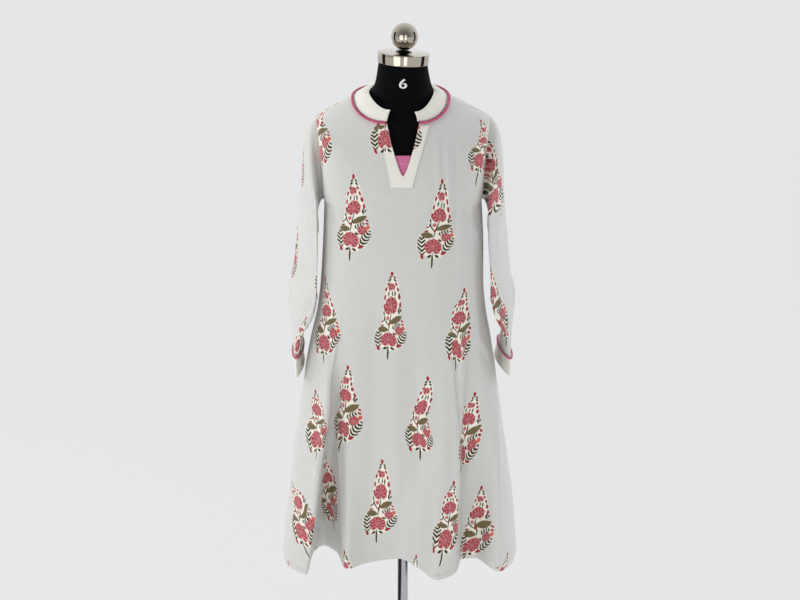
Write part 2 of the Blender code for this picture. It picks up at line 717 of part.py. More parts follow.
def finial(home):
    """The black foot and the chrome ball on the cap, leaning with it."""
    low = NECK_TOP_HEIGHT + CAP_HEIGHT + 2 * FACE_GAP
    add_cylinder("finial_foot", 0.018, low, low + FOOT_HEIGHT, 20, 0.0, "black_metal", home, CAP_TILT, 0.011)
    centre = low + FOOT_HEIGHT + FACE_GAP + BALL_RADIUS
    bm = bmesh.new()
    bmesh.ops.create_uvsphere(bm, u_segments=20, v_segments=10, radius=BALL_RADIUS)
    pivot = Matrix.Translation((0.0, 0.0, NECK_TOP_HEIGHT))
    turn = pivot @ Matrix.Rotation(CAP_TILT, 4, "Y") @ pivot.inverted()
    bmesh.ops.transform(bm, matrix=turn @ Matrix.Translation((0.0, 0.0, centre)), verts=bm.verts)
    data = bpy.data.meshes.new("finial_ball")
    bm.to_mesh(data)
    bm.free()
    data.shade_smooth()
    return add_object("finial_ball", data, "chrome", home)


def stand(home):
    add_cylinder("stand_base", BASE_RADIUS, 0.0, BASE_HEIGHT, 40, 0.002, "chrome", home)
    add_cylinder("stand_pole", POLE_RADIUS, BASE_HEIGHT + FACE_GAP, FORM_BOTTOM - FACE_GAP, 24, 0.0, "chrome", home)


def build():
    clear_scene()
    home = bpy.data.collections.new("kurta_tunic_on_dress_form")
    bpy.context.scene.collection.children.link(home)
    front_panel(home)
    back_panel(home)
    for side in ("right", "left"):
        sleeve(side, home)
        cuff(side, home)
        cuff_piping(side, home)
    collar_band(home)
    neck_piping(home)
    placket_band(home)
    v_insert(home)
    dress_form(home)
    neck_cap(home)
    finial(home)
    stand(home)


build()
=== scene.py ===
# %% [markdown]
# # A kurta tunic on a dress form
# A kurta is a long cotton tunic, cut from flat cloth: a front, a back, two long sleeves, cuffs and a
# small stand collar over a V opening. This one hangs on a black dress form with a chrome neck cap.
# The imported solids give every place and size. This script dresses them with thin cloth, print,
# piping, stitches and metal, and each piece stays exactly where its solid is.

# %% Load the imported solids
import bpy
import bmesh
import numpy as np
from bisect import bisect_left
from collections import namedtuple
from functools import lru_cache
from math import asin, cos, degrees, pi, radians, sin, tan
from mathutils import Matrix, Vector


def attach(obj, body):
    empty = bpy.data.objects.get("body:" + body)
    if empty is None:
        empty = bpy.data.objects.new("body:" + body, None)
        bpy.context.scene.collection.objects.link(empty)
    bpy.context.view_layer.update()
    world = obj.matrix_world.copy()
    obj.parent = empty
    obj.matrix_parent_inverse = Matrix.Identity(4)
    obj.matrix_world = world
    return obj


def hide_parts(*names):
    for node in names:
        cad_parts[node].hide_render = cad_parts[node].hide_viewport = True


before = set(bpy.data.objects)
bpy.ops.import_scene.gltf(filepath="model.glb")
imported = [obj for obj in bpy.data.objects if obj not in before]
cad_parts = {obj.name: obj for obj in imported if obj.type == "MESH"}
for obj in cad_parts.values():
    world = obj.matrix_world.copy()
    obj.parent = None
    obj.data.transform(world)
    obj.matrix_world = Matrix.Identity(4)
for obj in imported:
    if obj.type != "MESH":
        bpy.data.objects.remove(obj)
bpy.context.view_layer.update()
print("solids:", len(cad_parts))

# %% [markdown]
# The camera stands three metres in front of the form, a little above its shoulders, and looks down by
# sixteen and a half degrees. Seen from there, the floor fills the whole background.

# %% Camera
CAMERA_PLACE = (-0.0064, -2.98, 1.90)
CAMERA_DOWN = radians(16.55)
CAMERA_LENS = 63.0


def add_camera():
    data = bpy.data.cameras.new("camera")
    data.lens = CAMERA_LENS
    data.sensor_width = 36.0
    camera = bpy.data.objects.new("camera", data)
    bpy.context.scene.collection.objects.link(camera)
    camera.matrix_world = Matrix.Translation(CAMERA_PLACE) @ Matrix.Rotation(pi / 2 - CAMERA_DOWN, 4, "X")
    bpy.context.scene.camera = camera


add_camera()
bpy.context.scene.view_settings.view_transform = "Standard"

# %% [markdown]
# A few helpers come first. A recipe writes shader nodes one after another, so that a finish or a pattern
# reads as a list of steps. The rest adds, picks and measures pieces.

# %% Helpers for pieces and shader nodes
SIDES = {"right": -1.0, "left": 1.0}


class Recipe:
    """Adds shader nodes to a tree one after another."""

    def __init__(self, tree):
        self.tree = tree

    def fill(self, node, values):
        """Sets a node's inputs, each to a plain value or to another node's output."""
        for name, value in values.items():
            if isinstance(value, bpy.types.NodeSocket):
                self.tree.links.new(value, node.inputs[name])
            else:
                node.inputs[name].default_value = value

    def shade(self, values):
        """Sets inputs of the material's own shader."""
        self.fill(self.tree.nodes["Principled BSDF"], values)

    def put(self, kind, inputs, output=0, **settings):
        node = self.tree.nodes.new("ShaderNode" + kind)
        for name, value in settings.items():
            setattr(node, name, value)
        self.fill(node, inputs)
        return node.outputs[output]

    def use(self, group, inputs):
        """The outputs of a shared node group."""
        node = self.tree.nodes.new("ShaderNodeGroup")
        node.node_tree = group
        self.fill(node, inputs)
        return node.outputs

    def math(self, operation, *values, clamp=False):
        return self.put("Math", dict(enumerate(values)), operation=operation, use_clamp=clamp)

    def vector(self, operation, *values):
        return self.put("VectorMath", dict(enumerate(values)), operation=operation)

    def length(self, value):
        return self.put("VectorMath", {0: value}, "Value", operation="LENGTH")

    def noise(self, place, scale, detail, output="Fac", dimensions="2D"):
        inputs = {"Vector": place, "Scale": scale, "Detail": detail}
        return self.put("TexNoise", inputs, output, noise_dimensions=dimensions)

    def bump(self, height, strength=1.0):
        """A normal from a height in metres."""
        return self.put("Bump", {"Height": height, "Distance": 1.0, "Strength": strength})

    def move(self, point, at, turn=0.0, size=(1.0, 1.0, 1.0)):
        """The point seen from a place on the cloth, turned and measured in that place's own size."""
        own = {"Location": (*at, 0.0), "Rotation": (0.0, 0.0, radians(turn)), "Scale": size}
        return self.put("Mapping", {"Vector": point, **own}, vector_type="TEXTURE")

    def split(self, vector):
        node = self.tree.nodes.new("ShaderNodeSeparateXYZ")
        self.fill(node, {0: vector})
        return node.outputs[0], node.outputs[1]

    def join(self, x, y):
        return self.put("CombineXYZ", {0: x, 1: y})

    def blend(self, share, first, second):
        return self.put("Mix", {0: share, 6: first, 7: second}, 2, data_type="RGBA")

    def widest(self, values):
        total = values[0]
        for value in values[1:]:
            total = self.math("MAXIMUM", total, value)
        return total


def new_material(name):
    made = bpy.data.materials.new(name)
    made.use_nodes = True
    return made, Recipe(made.node_tree)


def plain_material(name, colour, roughness, metallic=0.0):
    made, r = new_material(name)
    r.shade({"Base Color": (*colour, 1.0), "Roughness": roughness, "Metallic": metallic})
    return made


def make_active(piece):
    bpy.ops.object.select_all(action="DESELECT")
    bpy.context.view_layer.objects.active = piece
    piece.select_set(True)


def add_primitive(add, **settings):
    """Runs one of Blender's own commands that add an object, and gives that object."""
    bpy.ops.object.select_all(action="DESELECT")
    add(**settings)
    return bpy.context.object


def mix(a, b, share):
    return a + (b - a) * share


def ease(value):
    value = min(1.0, max(0.0, value))
    return value * value * (3.0 - 2.0 * value)


def halve(low, high, steps, is_before):
    """The place between low and high up to which is_before holds, found by halving."""
    for _ in range(steps):
        middle = (low + high) / 2
        if is_before(middle):
            low = middle
        else:
            high = middle
    return middle


def side_of(x):
    return "left" if x >= 0 else "right"


def rows_of(kind, rows):
    """A table's rows, with their columns named."""
    return [kind(*row) for row in rows]


# %% [markdown]
# White cotton needs soft light from all round, or its folds turn harsh. The sky is pale, and brighter
# behind the form than before it, so the front of the cloth reads as grey and its edges as white. Two
# tall windows in front fill the folds and give the chrome something to mirror, and dark cards at the
# sides draw the black strips that chrome needs to look like chrome.

# %% Floor and light
FLOOR_SIZE = 60.0
FLOOR_GLOW = (0.682, 0.685, 0.692)
SKY_FRONT = 0.24
SKY_BACK = 1.00
Lamp = namedtuple("Lamp", "name place width height watts in_chrome")
LAMPS = [
    Lamp("side_right", (-3.0, 0.9, 2.1), 1.4, 2.4, 28.0, False),
    Lamp("side_left", (3.0, 0.9, 2.1), 1.4, 2.4, 28.0, False),
    Lamp("key", (-2.9, -1.7, 2.5), 1.2, 2.0, 27.0, False),
    Lamp("ceiling", (0.0, 0.9, 4.0), 3.0, 2.0, 24.0, False),
    Lamp("wide_window", (-1.75, -3.15, 1.25), 1.9, 2.5, 22.0, True),
    Lamp("narrow_window", (0.58, -3.55, 1.25), 0.9, 2.5, 11.0, True),
    Lamp("low_front", (0.55, -1.35, 0.25), 1.2, 0.5, 3.4, False),
]
SKY_COLOUR = (0.97, 0.985, 1.0, 1.0)
CARDS = [((-2.16, 0.30, 1.35), (0.01, 0.80, 2.5)), ((2.16, 0.30, 1.35), (0.01, 0.80, 2.5)),
         ((-0.62, -0.9, 0.004), (0.62, 2.4, 0.004)), ((0.9, -0.9, 0.004), (0.5, 2.4, 0.004))]
AIM = Vector((0.0, 0.0, 1.1))


def add_lamp(lamp):
    data = bpy.data.lights.new(lamp.name, "AREA")
    data.shape = "RECTANGLE"
    data.size = lamp.width
    data.size_y = lamp.height
    data.energy = lamp.watts
    made = bpy.data.objects.new(lamp.name, data)
    made.visible_glossy = lamp.in_chrome
    made.visible_camera = False
    bpy.context.scene.collection.objects.link(made)
    turn = (AIM - Vector(lamp.place)).to_track_quat("-Z", "Y").to_matrix().to_4x4()
    made.matrix_world = Matrix.Translation(lamp.place) @ turn


def add_sky():
    """A pale sky, brighter behind the form than before it."""
    world = bpy.data.worlds.new("studio")
    world.use_nodes = True
    r = Recipe(world.node_tree)
    _, depth = r.split(r.put("TexCoord", {}, "Generated"))
    ramp = {"Value": depth, "From Min": -0.8, "From Max": 0.6, "To Min": SKY_FRONT, "To Max": SKY_BACK}
    strength = r.put("MapRange", ramp, "Result")
    r.fill(world.node_tree.nodes["Background"], {"Strength": strength, "Color": SKY_COLOUR})
    bpy.context.scene.world = world


def add_stage():
    floor = add_primitive(bpy.ops.mesh.primitive_plane_add, size=FLOOR_SIZE, location=(0.0, 0.0, 0.0))
    floor.name = "floor"
    pale = plain_material("pale_floor", (0.08, 0.08, 0.08), 0.9)
    Recipe(pale.node_tree).shade({"Emission Color": (*FLOOR_GLOW, 1.0), "Emission Strength": 1.0})
    floor.data.materials.append(pale)
    black = plain_material("black_card", (0.01, 0.01, 0.01), 1.0)
    for place, size in CARDS:
        card = add_primitive(bpy.ops.mesh.primitive_cube_add, size=1.0, location=place, scale=size)
        card.name = "card"
        card.visible_camera = False
        card.visible_diffuse = False
        card.visible_shadow = False
        card.data.materials.append(black)
    for lamp in LAMPS:
        add_lamp(lamp)
    add_sky()


add_stage()

# %% [markdown]
# The cloth is drawn with the same tables that gave the solids their form: a few named rows for the chest,
# the body, the folds and the sleeves, and a smooth curve through the rows of each table. Here the same
# curves are read at many more places, so the folds turn softly.

# %% Sizes of the tunic
CLOTH = 0.0014
COLLAR_CLOTH = 0.002
STRIP_CLOTH = 0.0012
THIN_CLOTH = 0.0007
CORNER_GAP = 0.0009
ARMHOLE_GAP = 0.0015
SEAM_GAP = 0.0004
LAYER_GAP = 0.0005
PIPING_RADIUS = 0.0024
CUFF_PIPING_RADIUS = 0.0019
HEM_HEIGHT = 0.440
HEM_TURN = 0.0095
UNDERARM_HEIGHT = 1.245
NECK_SIDE = {"right": (0.104, -0.012, 1.4665), "left": (0.094, -0.012, 1.4665)}
SHOULDER_TIP_LEVEL = 0.30
V_TOP_HALF_WIDTH = 0.034
V_TIP_HEIGHT = 1.319
V_TIP_LEVEL = SHOULDER_TIP_LEVEL + (1.0 - SHOULDER_TIP_LEVEL) * 4 / 9
V_CURVE = 0.72
CUFF_LEVEL = 0.855
SLEEVE_END_TILT = 0.06
SKIRT_ROUNDNESS = 2.6

ChestRow = namedtuple("ChestRow", "level front_y front_z back_y back_z")
CHEST = rows_of(ChestRow, [
    (0.00, -0.100, 1.427, 0.080, 1.486),
    (0.15, -0.108, 1.402, 0.087, 1.462),
    (0.30, -0.116, 1.374, 0.095, 1.430),
    (V_TIP_LEVEL, -0.125, V_TIP_HEIGHT, 0.104, 1.343),
    (0.80, -0.128, 1.283, 0.107, 1.293),
    (1.00, -0.129, 1.245, 0.107, 1.245),
])
BodyRow = namedtuple("BodyRow", "height right left front back")
BODY = rows_of(BodyRow, [
    (0.44, 0.276, 0.262, 0.150, 0.155),
    (0.57, 0.259, 0.250, 0.142, 0.142),
    (0.68, 0.246, 0.233, 0.136, 0.134),
    (0.78, 0.230, 0.219, 0.132, 0.127),
    (0.87, 0.217, 0.205, 0.129, 0.117),
    (0.94, 0.203, 0.194, 0.128, 0.110),
    (1.00, 0.189, 0.183, 0.127, 0.104),
    (1.06, 0.181, 0.177, 0.128, 0.101),
    (1.16, 0.174, 0.175, 0.131, 0.105),
    (1.245, 0.170, 0.170, 0.129, 0.107),
])
Fold = namedtuple("Fold", "name share hem_x hem_y start")
FRONT_FOLDS = rows_of(Fold, [
    ("side_right", -1.00, -0.276, -0.022, 1.00),
    ("bow_right", -0.95, -0.263, -0.132, 0.86),
    ("face_1", -0.84, -0.242, -0.168, 0.90),
    ("crest_1", -0.72, -0.213, -0.192, 1.00),
    ("flank_1", -0.69, -0.204, -0.088, 0.99),
    ("valley_1", -0.64, -0.180, -0.050, 0.98),
    ("flank_2", -0.57, -0.150, -0.085, 0.86),
    ("crest_2", -0.50, -0.125, -0.166, 0.78),
    ("panel_right", -0.32, -0.080, -0.136, 0.70),
    ("valley_2", -0.05, -0.012, -0.115, 0.66),
    ("panel_left", 0.18, 0.034, -0.160, 0.72),
    ("crest_3", 0.36, 0.074, -0.216, 0.84),
    ("flank_3", 0.53, 0.116, -0.184, 0.96),
    ("recess", 0.57, 0.134, -0.116, 0.98),
    ("valley_3", 0.73, 0.164, -0.113, 0.96),
    ("crest_4", 0.95, 0.215, -0.178, 0.92),
    ("bow_left", 0.985, 0.246, -0.132, 0.86),
    ("side_left", 1.00, 0.262, -0.022, 1.00),
])
BACK_FOLDS = rows_of(Fold, [
    ("side_right", -1.00, -0.276, -0.021, 1.00),
    ("bow_right", -0.96, -0.262, 0.085, 0.86),
    ("crest_5", -0.80, -0.222, 0.165, 0.90),
    ("valley_5", -0.63, -0.166, 0.088, 0.95),
    ("crest_6", -0.44, -0.112, 0.192, 0.84),
    ("panel_right", -0.24, -0.058, 0.150, 0.75),
    ("valley_6", -0.04, -0.010, 0.122, 0.70),
    ("crest_7", 0.25, 0.060, 0.186, 0.80),
    ("valley_7", 0.50, 0.124, 0.098, 0.92),
    ("crest_8", 0.72, 0.178, 0.172, 0.86),
    ("valley_8", 0.86, 0.216, 0.104, 0.90),
    ("bow_left", 0.97, 0.246, 0.092, 0.84),
    ("side_left", 1.00, 0.262, -0.021, 1.00),
])
SLEEVE_COLUMN_NAMES = "level out_x out_z in_x in_z front_x front_y front_z back_x back_y back_z"
SleeveRow = namedtuple("SleeveRow", SLEEVE_COLUMN_NAMES)
SLEEVE_CAP = rows_of(SleeveRow, [
    (0.00, 0.185, 1.424, 0.170, 1.247, 0.173, -0.036, 1.330, 0.174, 0.044, 1.335),
    (0.03, 0.1935, 1.416, 0.177, 1.243, 0.181, -0.039, 1.324, 0.183, 0.047, 1.329),
    (0.07, 0.2025, 1.402, 0.181, 1.236, 0.185, -0.049, 1.310, 0.191, 0.055, 1.314),
    (0.14, 0.211, 1.370, 0.185, 1.224, 0.186, -0.063, 1.283, 0.200, 0.064, 1.286),
    (0.23, 0.2155, 1.312, 0.190, 1.202, 0.184, -0.076, 1.244, 0.212, 0.071, 1.246),
])
ArmRow = namedtuple("ArmRow", "level height front_x back_x front_y back_y bulge")
SLEEVE_ARM = {
    "right": rows_of(ArmRow, [
        (0.36, 1.175, 0.184, 0.229, -0.078, 0.072, 0.012),
        (0.48, 1.110, 0.185, 0.239, -0.076, 0.070, 0.011),
        (0.58, 1.055, 0.188, 0.250, -0.074, 0.069, 0.010),
        (0.65, 1.015, 0.196, 0.256, -0.073, 0.068, 0.011),
        (0.73, 0.972, 0.215, 0.252, -0.070, 0.068, 0.013),
        (0.81, 0.930, 0.230, 0.240, -0.068, 0.068, 0.011),
        (0.88, 0.894, 0.235, 0.233, -0.066, 0.068, 0.008),
        (1.00, 0.858, 0.235, 0.227, -0.064, 0.070, 0.007),
    ]),
    "left": rows_of(ArmRow, [
        (0.36, 1.175, 0.185, 0.225, -0.078, 0.072, 0.012),
        (0.48, 1.110, 0.189, 0.233, -0.076, 0.070, 0.011),
        (0.58, 1.055, 0.193, 0.243, -0.074, 0.069, 0.010),
        (0.65, 1.015, 0.202, 0.250, -0.073, 0.068, 0.011),
        (0.73, 0.972, 0.219, 0.244, -0.070, 0.068, 0.013),
        (0.81, 0.930, 0.231, 0.230, -0.068, 0.068, 0.011),
        (0.88, 0.894, 0.236, 0.218, -0.066, 0.070, 0.008),
        (1.00, 0.862, 0.237, 0.210, -0.064, 0.074, 0.007),
    ]),
}
print("fold rows:", len(FRONT_FOLDS), "front and", len(BACK_FOLDS), "back")


# %% Reading a table as a smooth curve
def read_curve(places, values, at):
    """A smooth curve through the values, with no overshoot between them."""
    last = len(places) - 1
    if at <= places[0]:
        return values[0]
    if at >= places[last]:
        return values[last]

    def step(i):
        return (values[i + 1] - values[i]) / (places[i + 1] - places[i])

    def slope(i):
        if i == 0:
            return step(0)
        if i == last:
            return step(last - 1)
        before, after = step(i - 1), step(i)
        return 0.0 if before * after <= 0.0 else 2.0 * before * after / (before + after)

    i = bisect_left(places, at) - 1
    width = places[i + 1] - places[i]
    q = (at - places[i]) / width
    start = values[i] * (1.0 + 2.0 * q) * (1.0 - q) ** 2 + slope(i) * width * q * (1.0 - q) ** 2
    end = values[i + 1] * q * q * (3.0 - 2.0 * q) + slope(i + 1) * width * q * q * (q - 1.0)
    return start + end


def read_table(table, key, value, at):
    places = [getattr(row, key) for row in table]
    return read_curve(places, [getattr(row, value) for row in table], at)


# %% Points of the sleeves
def sleeve_rows(side):
    rows = list(SLEEVE_CAP)
    for arm in SLEEVE_ARM[side]:
        middle = (arm.front_x + arm.back_x) / 2
        front_z = arm.height + SLEEVE_END_TILT * arm.front_y
        back_z = arm.height + SLEEVE_END_TILT * arm.back_y
        out_and_in = (middle + arm.bulge, arm.height, middle - arm.bulge, arm.height)
        folds = (arm.front_x, arm.front_y, front_z, arm.back_x, arm.back_y, back_z)
        rows.append(SleeveRow(arm.level, *out_and_in, *folds))
    return rows


@lru_cache(maxsize=None)
def sleeve_section(side, level):
    rows = sleeve_rows(side)
    return {name: read_table(rows, "level", name, level) for name in SleeveRow._fields[1:]}


def sleeve_point(side, level, turn):
    """A point of a sleeve: turn is 0 at the top, 90 at the front fold, 180 below, 270 at the back."""
    got = sleeve_section(side, level)
    front = Vector((got["front_x"], got["front_y"], got["front_z"]))
    back = Vector((got["back_x"], got["back_y"], got["back_z"]))
    middle = (front + back) / 2
    top = Vector((got["out_x"], mix(0.004, middle.y, min(1.0, level * 4)), got["out_z"]))
    bottom = Vector((got["in_x"], mix(0.0, middle.y, min(1.0, level * 4)), got["in_z"]))
    rise = cos(radians(turn))
    flatness = mix(1.0, 1.5, ease(level * 2.5))
    across = (front - back) / 2 * sin(radians(turn))
    upright = (top - middle) if rise > 0 else (middle - bottom)
    point = middle + across + upright * (abs(rise) ** flatness * (1 if rise > 0 else -1))
    return Vector((SIDES[side] * point.x, point.y, point.z))


# %% Points of the chest
@lru_cache(maxsize=None)
def edge_point(side, front, level):
    """The outer edge of a body panel: shoulder seam, then armhole."""
    shift = -CORNER_GAP / 2 if front else CORNER_GAP / 2
    if level <= SHOULDER_TIP_LEVEL:
        along = level / SHOULDER_TIP_LEVEL
        x, y, z = NECK_SIDE[side]
        neck = Vector((SIDES[side] * x, y, z))
        point = neck.lerp(sleeve_point(side, 0.0, 0.0), along)
        point.z += 0.003 * sin(pi * along)
    else:
        down = 180.0 * (level - SHOULDER_TIP_LEVEL) / (1.0 - SHOULDER_TIP_LEVEL)
        point = sleeve_point(side, 0.0, down if front else 360.0 - down)
    return point + Vector((0.0, shift, 0.0))


@lru_cache(maxsize=None)
def chest_value(name, level):
    return read_table(CHEST, "level", name, level)


def v_half_width(height):
    if height <= V_TIP_HEIGHT:
        return 0.0
    full = CHEST[0].front_z - V_TIP_HEIGHT
    return V_TOP_HALF_WIDTH * min(1.0, (height - V_TIP_HEIGHT) / full) ** V_CURVE


def chest_point(front, share, level):
    """A point of the body above the underarm; share runs across, level from the neck down."""
    edge = edge_point(side_of(share), front, level)
    middle_y = chest_value("front_y" if front else "back_y", level)
    middle_z = chest_value("front_z" if front else "back_z", level)
    power = mix(2.0, 2.6, ease(level))
    s = min(1.0, abs(share))
    bow = (1.0 - s ** power) ** (1.0 / power)
    turned = degrees(asin(s))
    low = ease(level / SHOULDER_TIP_LEVEL)
    if front:
        lift = mix(max(0.0, (turned - 28.0) / 62.0) ** 1.6, ease((turned - 18.0) / 72.0), low)
    else:
        lift = mix(1.0 - cos(radians(turned)), ease((turned - 12.0) / 78.0), low)
    return Vector((edge.x * s, mix(edge.y, middle_y, bow), mix(middle_z, edge.z, lift)))


def slit_share(share, side, level):
    """The share of a front column, moved out of the V opening above its tip."""
    middle_z = chest_value("front_z", level)
    open_share = v_half_width(middle_z) / abs(edge_point(side, True, level).x)
    return SIDES[side] * (open_share + (1.0 - open_share) * abs(share))


# %% Points of the skirt
@lru_cache(maxsize=None)
def body_value(name, height):
    return read_table(BODY, "height", name, height)


def body_outline(front, share, height):
    half = body_value(side_of(share), height)
    depth = -body_value("front", height) if front else body_value("back", height)
    return half * share, depth * (1.0 - abs(share) ** SKIRT_ROUNDNESS) ** (1.0 / SKIRT_ROUNDNESS)


@lru_cache(maxsize=None)
def fold_row(front, height):
    """Where each fold is across the body at a height, and how far it stands out or in."""
    drift = max(0.0, (1.0 - height) / (1.0 - HEM_HEIGHT)) ** 1.6
    shares = []
    pushes = []
    for fold in FRONT_FOLDS if front else BACK_FOLDS:
        hem_share = fold.hem_x / getattr(BODY[0], side_of(fold.hem_x))
        growth = max(0.0, (fold.start - height) / (fold.start - HEM_HEIGHT)) ** 1.35
        shares.append(mix(fold.share, hem_share, drift))
        pushes.append((fold.hem_y - body_outline(front, hem_share, HEM_HEIGHT)[1]) * growth)
    return shares, pushes


def skirt_point(front, place, height):
    """A point below the underarm; place counts the folds across, 0 at the right side seam."""
    shares, pushes = fold_row(front, height)
    places = range(len(shares))
    share = max(-1.0, min(1.0, read_curve(places, shares, place)))
    x, y = body_outline(front, share, height)
    seam = (-SEAM_GAP if front else SEAM_GAP) / 2 if place in (0, len(shares) - 1) else 0.0
    return Vector((x, y + read_curve(places, pushes, place) + seam, height))


CREST = [fold.name for fold in FRONT_FOLDS].index("crest_3")
print("hem at crest 3:", [round(value, 3) for value in skirt_point(True, CREST, HEM_HEIGHT)])

# %% [markdown]
# Small creases go on top of the folds. Each one is a line on the cloth with its own width and depth: a
# plus depth is a ridge, a minus depth a trough. They fade towards both ends, so none looks stamped, and
# the back has its own, because cotton creases wherever it was folded or pulled.

# %% Creases
CREASE_STRENGTH = 1.5
Crease = namedtuple("Crease", "route width depth")
FRONT_CREASES = rows_of(Crease, [
    ([(-0.170, 1.272), (-0.137, 1.246), (-0.122, 1.185)], 0.007, 0.0018),
    ([(-0.166, 1.238), (-0.140, 1.214), (-0.128, 1.150)], 0.009, -0.0016),
    ([(0.132, 1.226), (0.150, 1.196), (0.167, 1.160)], 0.006, 0.0018),
    ([(0.146, 1.236), (0.166, 1.205)], 0.007, -0.0015),
    ([(0.070, 1.412), (0.074, 1.330), (0.077, 1.226)], 0.008, 0.0016),
    ([(0.089, 1.418), (0.094, 1.330), (0.098, 1.215)], 0.007, 0.0018),
    ([(0.108, 1.405), (0.112, 1.310), (0.113, 1.196)], 0.008, -0.0017),
    ([(0.136, 1.408), (0.139, 1.320), (0.141, 1.226)], 0.008, 0.0019),
    ([(-0.058, 1.120), (-0.062, 0.860), (-0.070, 0.452)], 0.022, -0.0030),
    ([(-0.022, 1.090), (-0.016, 0.800), (-0.010, 0.450)], 0.020, 0.0026),
    ([(0.026, 1.010), (0.030, 0.760), (0.040, 0.520)], 0.018, -0.0022),
    ([(0.166, 0.952), (0.180, 0.924), (0.190, 0.898)], 0.006, 0.0022),
    ([(0.158, 0.938), (0.176, 0.906), (0.188, 0.882)], 0.006, -0.0020),
    ([(0.200, 0.900), (0.204, 0.841), (0.209, 0.780), (0.212, 0.658), (0.214, 0.446)], 0.005, 0.0030),
    ([(0.150, 1.110), (0.159, 0.998), (0.167, 0.862), (0.160, 0.739), (0.152, 0.640)], 0.008, 0.0028),
    ([(0.128, 1.020), (0.126, 0.860), (0.122, 0.700), (0.118, 0.560)], 0.009, 0.0042),
    ([(0.141, 1.010), (0.139, 0.860), (0.135, 0.700), (0.131, 0.560)], 0.009, -0.0038),
    ([(0.118, 1.310), (0.121, 1.200), (0.120, 1.090)], 0.009, 0.0026),
    ([(0.131, 1.310), (0.134, 1.200), (0.133, 1.100)], 0.010, -0.0026),
    ([(-0.163, 0.960), (-0.165, 0.796), (-0.188, 0.671), (-0.202, 0.542)], 0.008, 0.0036),
    ([(-0.151, 0.940), (-0.152, 0.800), (-0.170, 0.660)], 0.008, -0.0020),
    ([(-0.195, 0.546), (-0.173, 0.485), (-0.149, 0.456)], 0.008, 0.0036),
    ([(-0.143, 0.748), (-0.135, 0.505), (-0.127, 0.444)], 0.005, 0.0026),
    ([(-0.193, 0.871), (-0.192, 0.838)], 0.004, 0.0014),
    ([(-0.218, 0.800), (-0.232, 0.700), (-0.238, 0.590)], 0.010, 0.0022),
    ([(0.086, 0.900), (0.092, 0.760), (0.088, 0.600)], 0.016, 0.0024),
    ([(-0.098, 0.980), (-0.104, 0.820), (-0.100, 0.640)], 0.018, 0.0020),
    ([(-0.060, 1.300), (-0.085, 1.262), (-0.120, 1.240)], 0.012, -0.0010),
    ([(0.186, 0.760), (0.188, 0.640), (0.186, 0.500)], 0.012, -0.0026),
])
BACK_CREASES = rows_of(Crease, [
    ([(-0.164, 1.270), (-0.128, 1.232), (-0.104, 1.170)], 0.008, 0.0020),
    ([(0.166, 1.268), (0.136, 1.240), (0.118, 1.186)], 0.007, 0.0018),
    ([(0.160, 1.246), (0.124, 1.212)], 0.008, -0.0017),
    ([(-0.064, 1.440), (-0.072, 1.360), (-0.070, 1.260)], 0.010, 0.0014),
    ([(0.052, 1.446), (0.060, 1.370), (0.066, 1.250)], 0.012, -0.0013),
    ([(0.090, 1.436), (0.096, 1.350), (0.094, 1.236)], 0.009, 0.0016),
    ([(-0.020, 1.300), (-0.014, 1.140), (-0.020, 0.980)], 0.018, -0.0024),
    ([(-0.110, 1.090), (-0.116, 0.900), (-0.120, 0.560)], 0.012, 0.0030),
    ([(0.070, 1.060), (0.072, 0.880), (0.066, 0.600)], 0.014, 0.0026),
    ([(0.150, 1.010), (0.158, 0.860), (0.164, 0.700)], 0.008, 0.0028),
    ([(-0.176, 0.980), (-0.186, 0.840), (-0.200, 0.660)], 0.008, -0.0026),
    ([(-0.040, 0.900), (-0.034, 0.720), (-0.036, 0.500)], 0.016, 0.0024),
    ([(0.190, 0.880), (0.206, 0.760), (0.214, 0.560)], 0.009, 0.0026),
    ([(0.010, 0.620), (0.016, 0.520), (0.014, 0.450)], 0.008, -0.0022),
    ([(-0.226, 0.640), (-0.204, 0.560), (-0.196, 0.470)], 0.008, 0.0030),
    ([(-0.150, 0.960), (-0.130, 0.930), (-0.090, 0.922)], 0.007, 0.0014),
])


def crease_push(x, z, creases):
    """How far the creases lift each point of a cloth off its smooth form."""
    push = np.zeros_like(x)
    for crease in creases:
        route = np.array(crease.route)
        steps = np.linalg.norm(np.diff(route, axis=0), axis=1)
        nearest = np.full_like(x, 9.0)
        along = np.zeros_like(x)
        gone = 0.0
        for start, end, step in zip(route[:-1], route[1:], steps):
            direction = (end - start) / step
            t = np.clip((x - start[0]) * direction[0] + (z - start[1]) * direction[1], 0.0, step)
            apart = np.hypot(x - start[0] - direction[0] * t, z - start[1] - direction[1] * t)
            closer = apart < nearest
            nearest = np.where(closer, apart, nearest)
            along = np.where(closer, (gone + t) / steps.sum(), along)
            gone += step
        fade = np.sin(pi * np.clip(along, 0.0, 1.0)) ** 0.7
        push += CREASE_STRENGTH * crease.depth * fade * np.exp(-1.6 * (nearest / crease.width) ** 2)
    return push


print("creases:", len(FRONT_CREASES), "front and", len(BACK_CREASES), "back")


# %% Building a sheet of cloth
DOUBLES_REACH = 0.00002


def grid_normals(points):
    """The unit normal at each point of a grid."""
    across = np.gradient(points, axis=1)
    down = np.gradient(points, axis=0)
    normals = np.cross(across, down)
    normals /= np.maximum(np.linalg.norm(normals, axis=2, keepdims=True), 1e-12)
    return normals


def turned_out(normals, points, centre=(0.0, 0.0)):
    """The same normals, all turned to the side that looks away from a centre line."""
    away = points[:, :, :2] - np.array(centre)
    wrong = (normals[:, :, :2] * away).sum() < 0.0
    return -normals if wrong else normals


def measure_across(points, start=0):
    """The length across each row in plan, nought at the start column."""
    steps = np.linalg.norm(np.diff(points[:, :, :2], axis=1), axis=2)
    lengths = np.concatenate([np.zeros((len(points), 1)), np.cumsum(steps, axis=1)], axis=1)
    return lengths - lengths[:, start:start + 1]


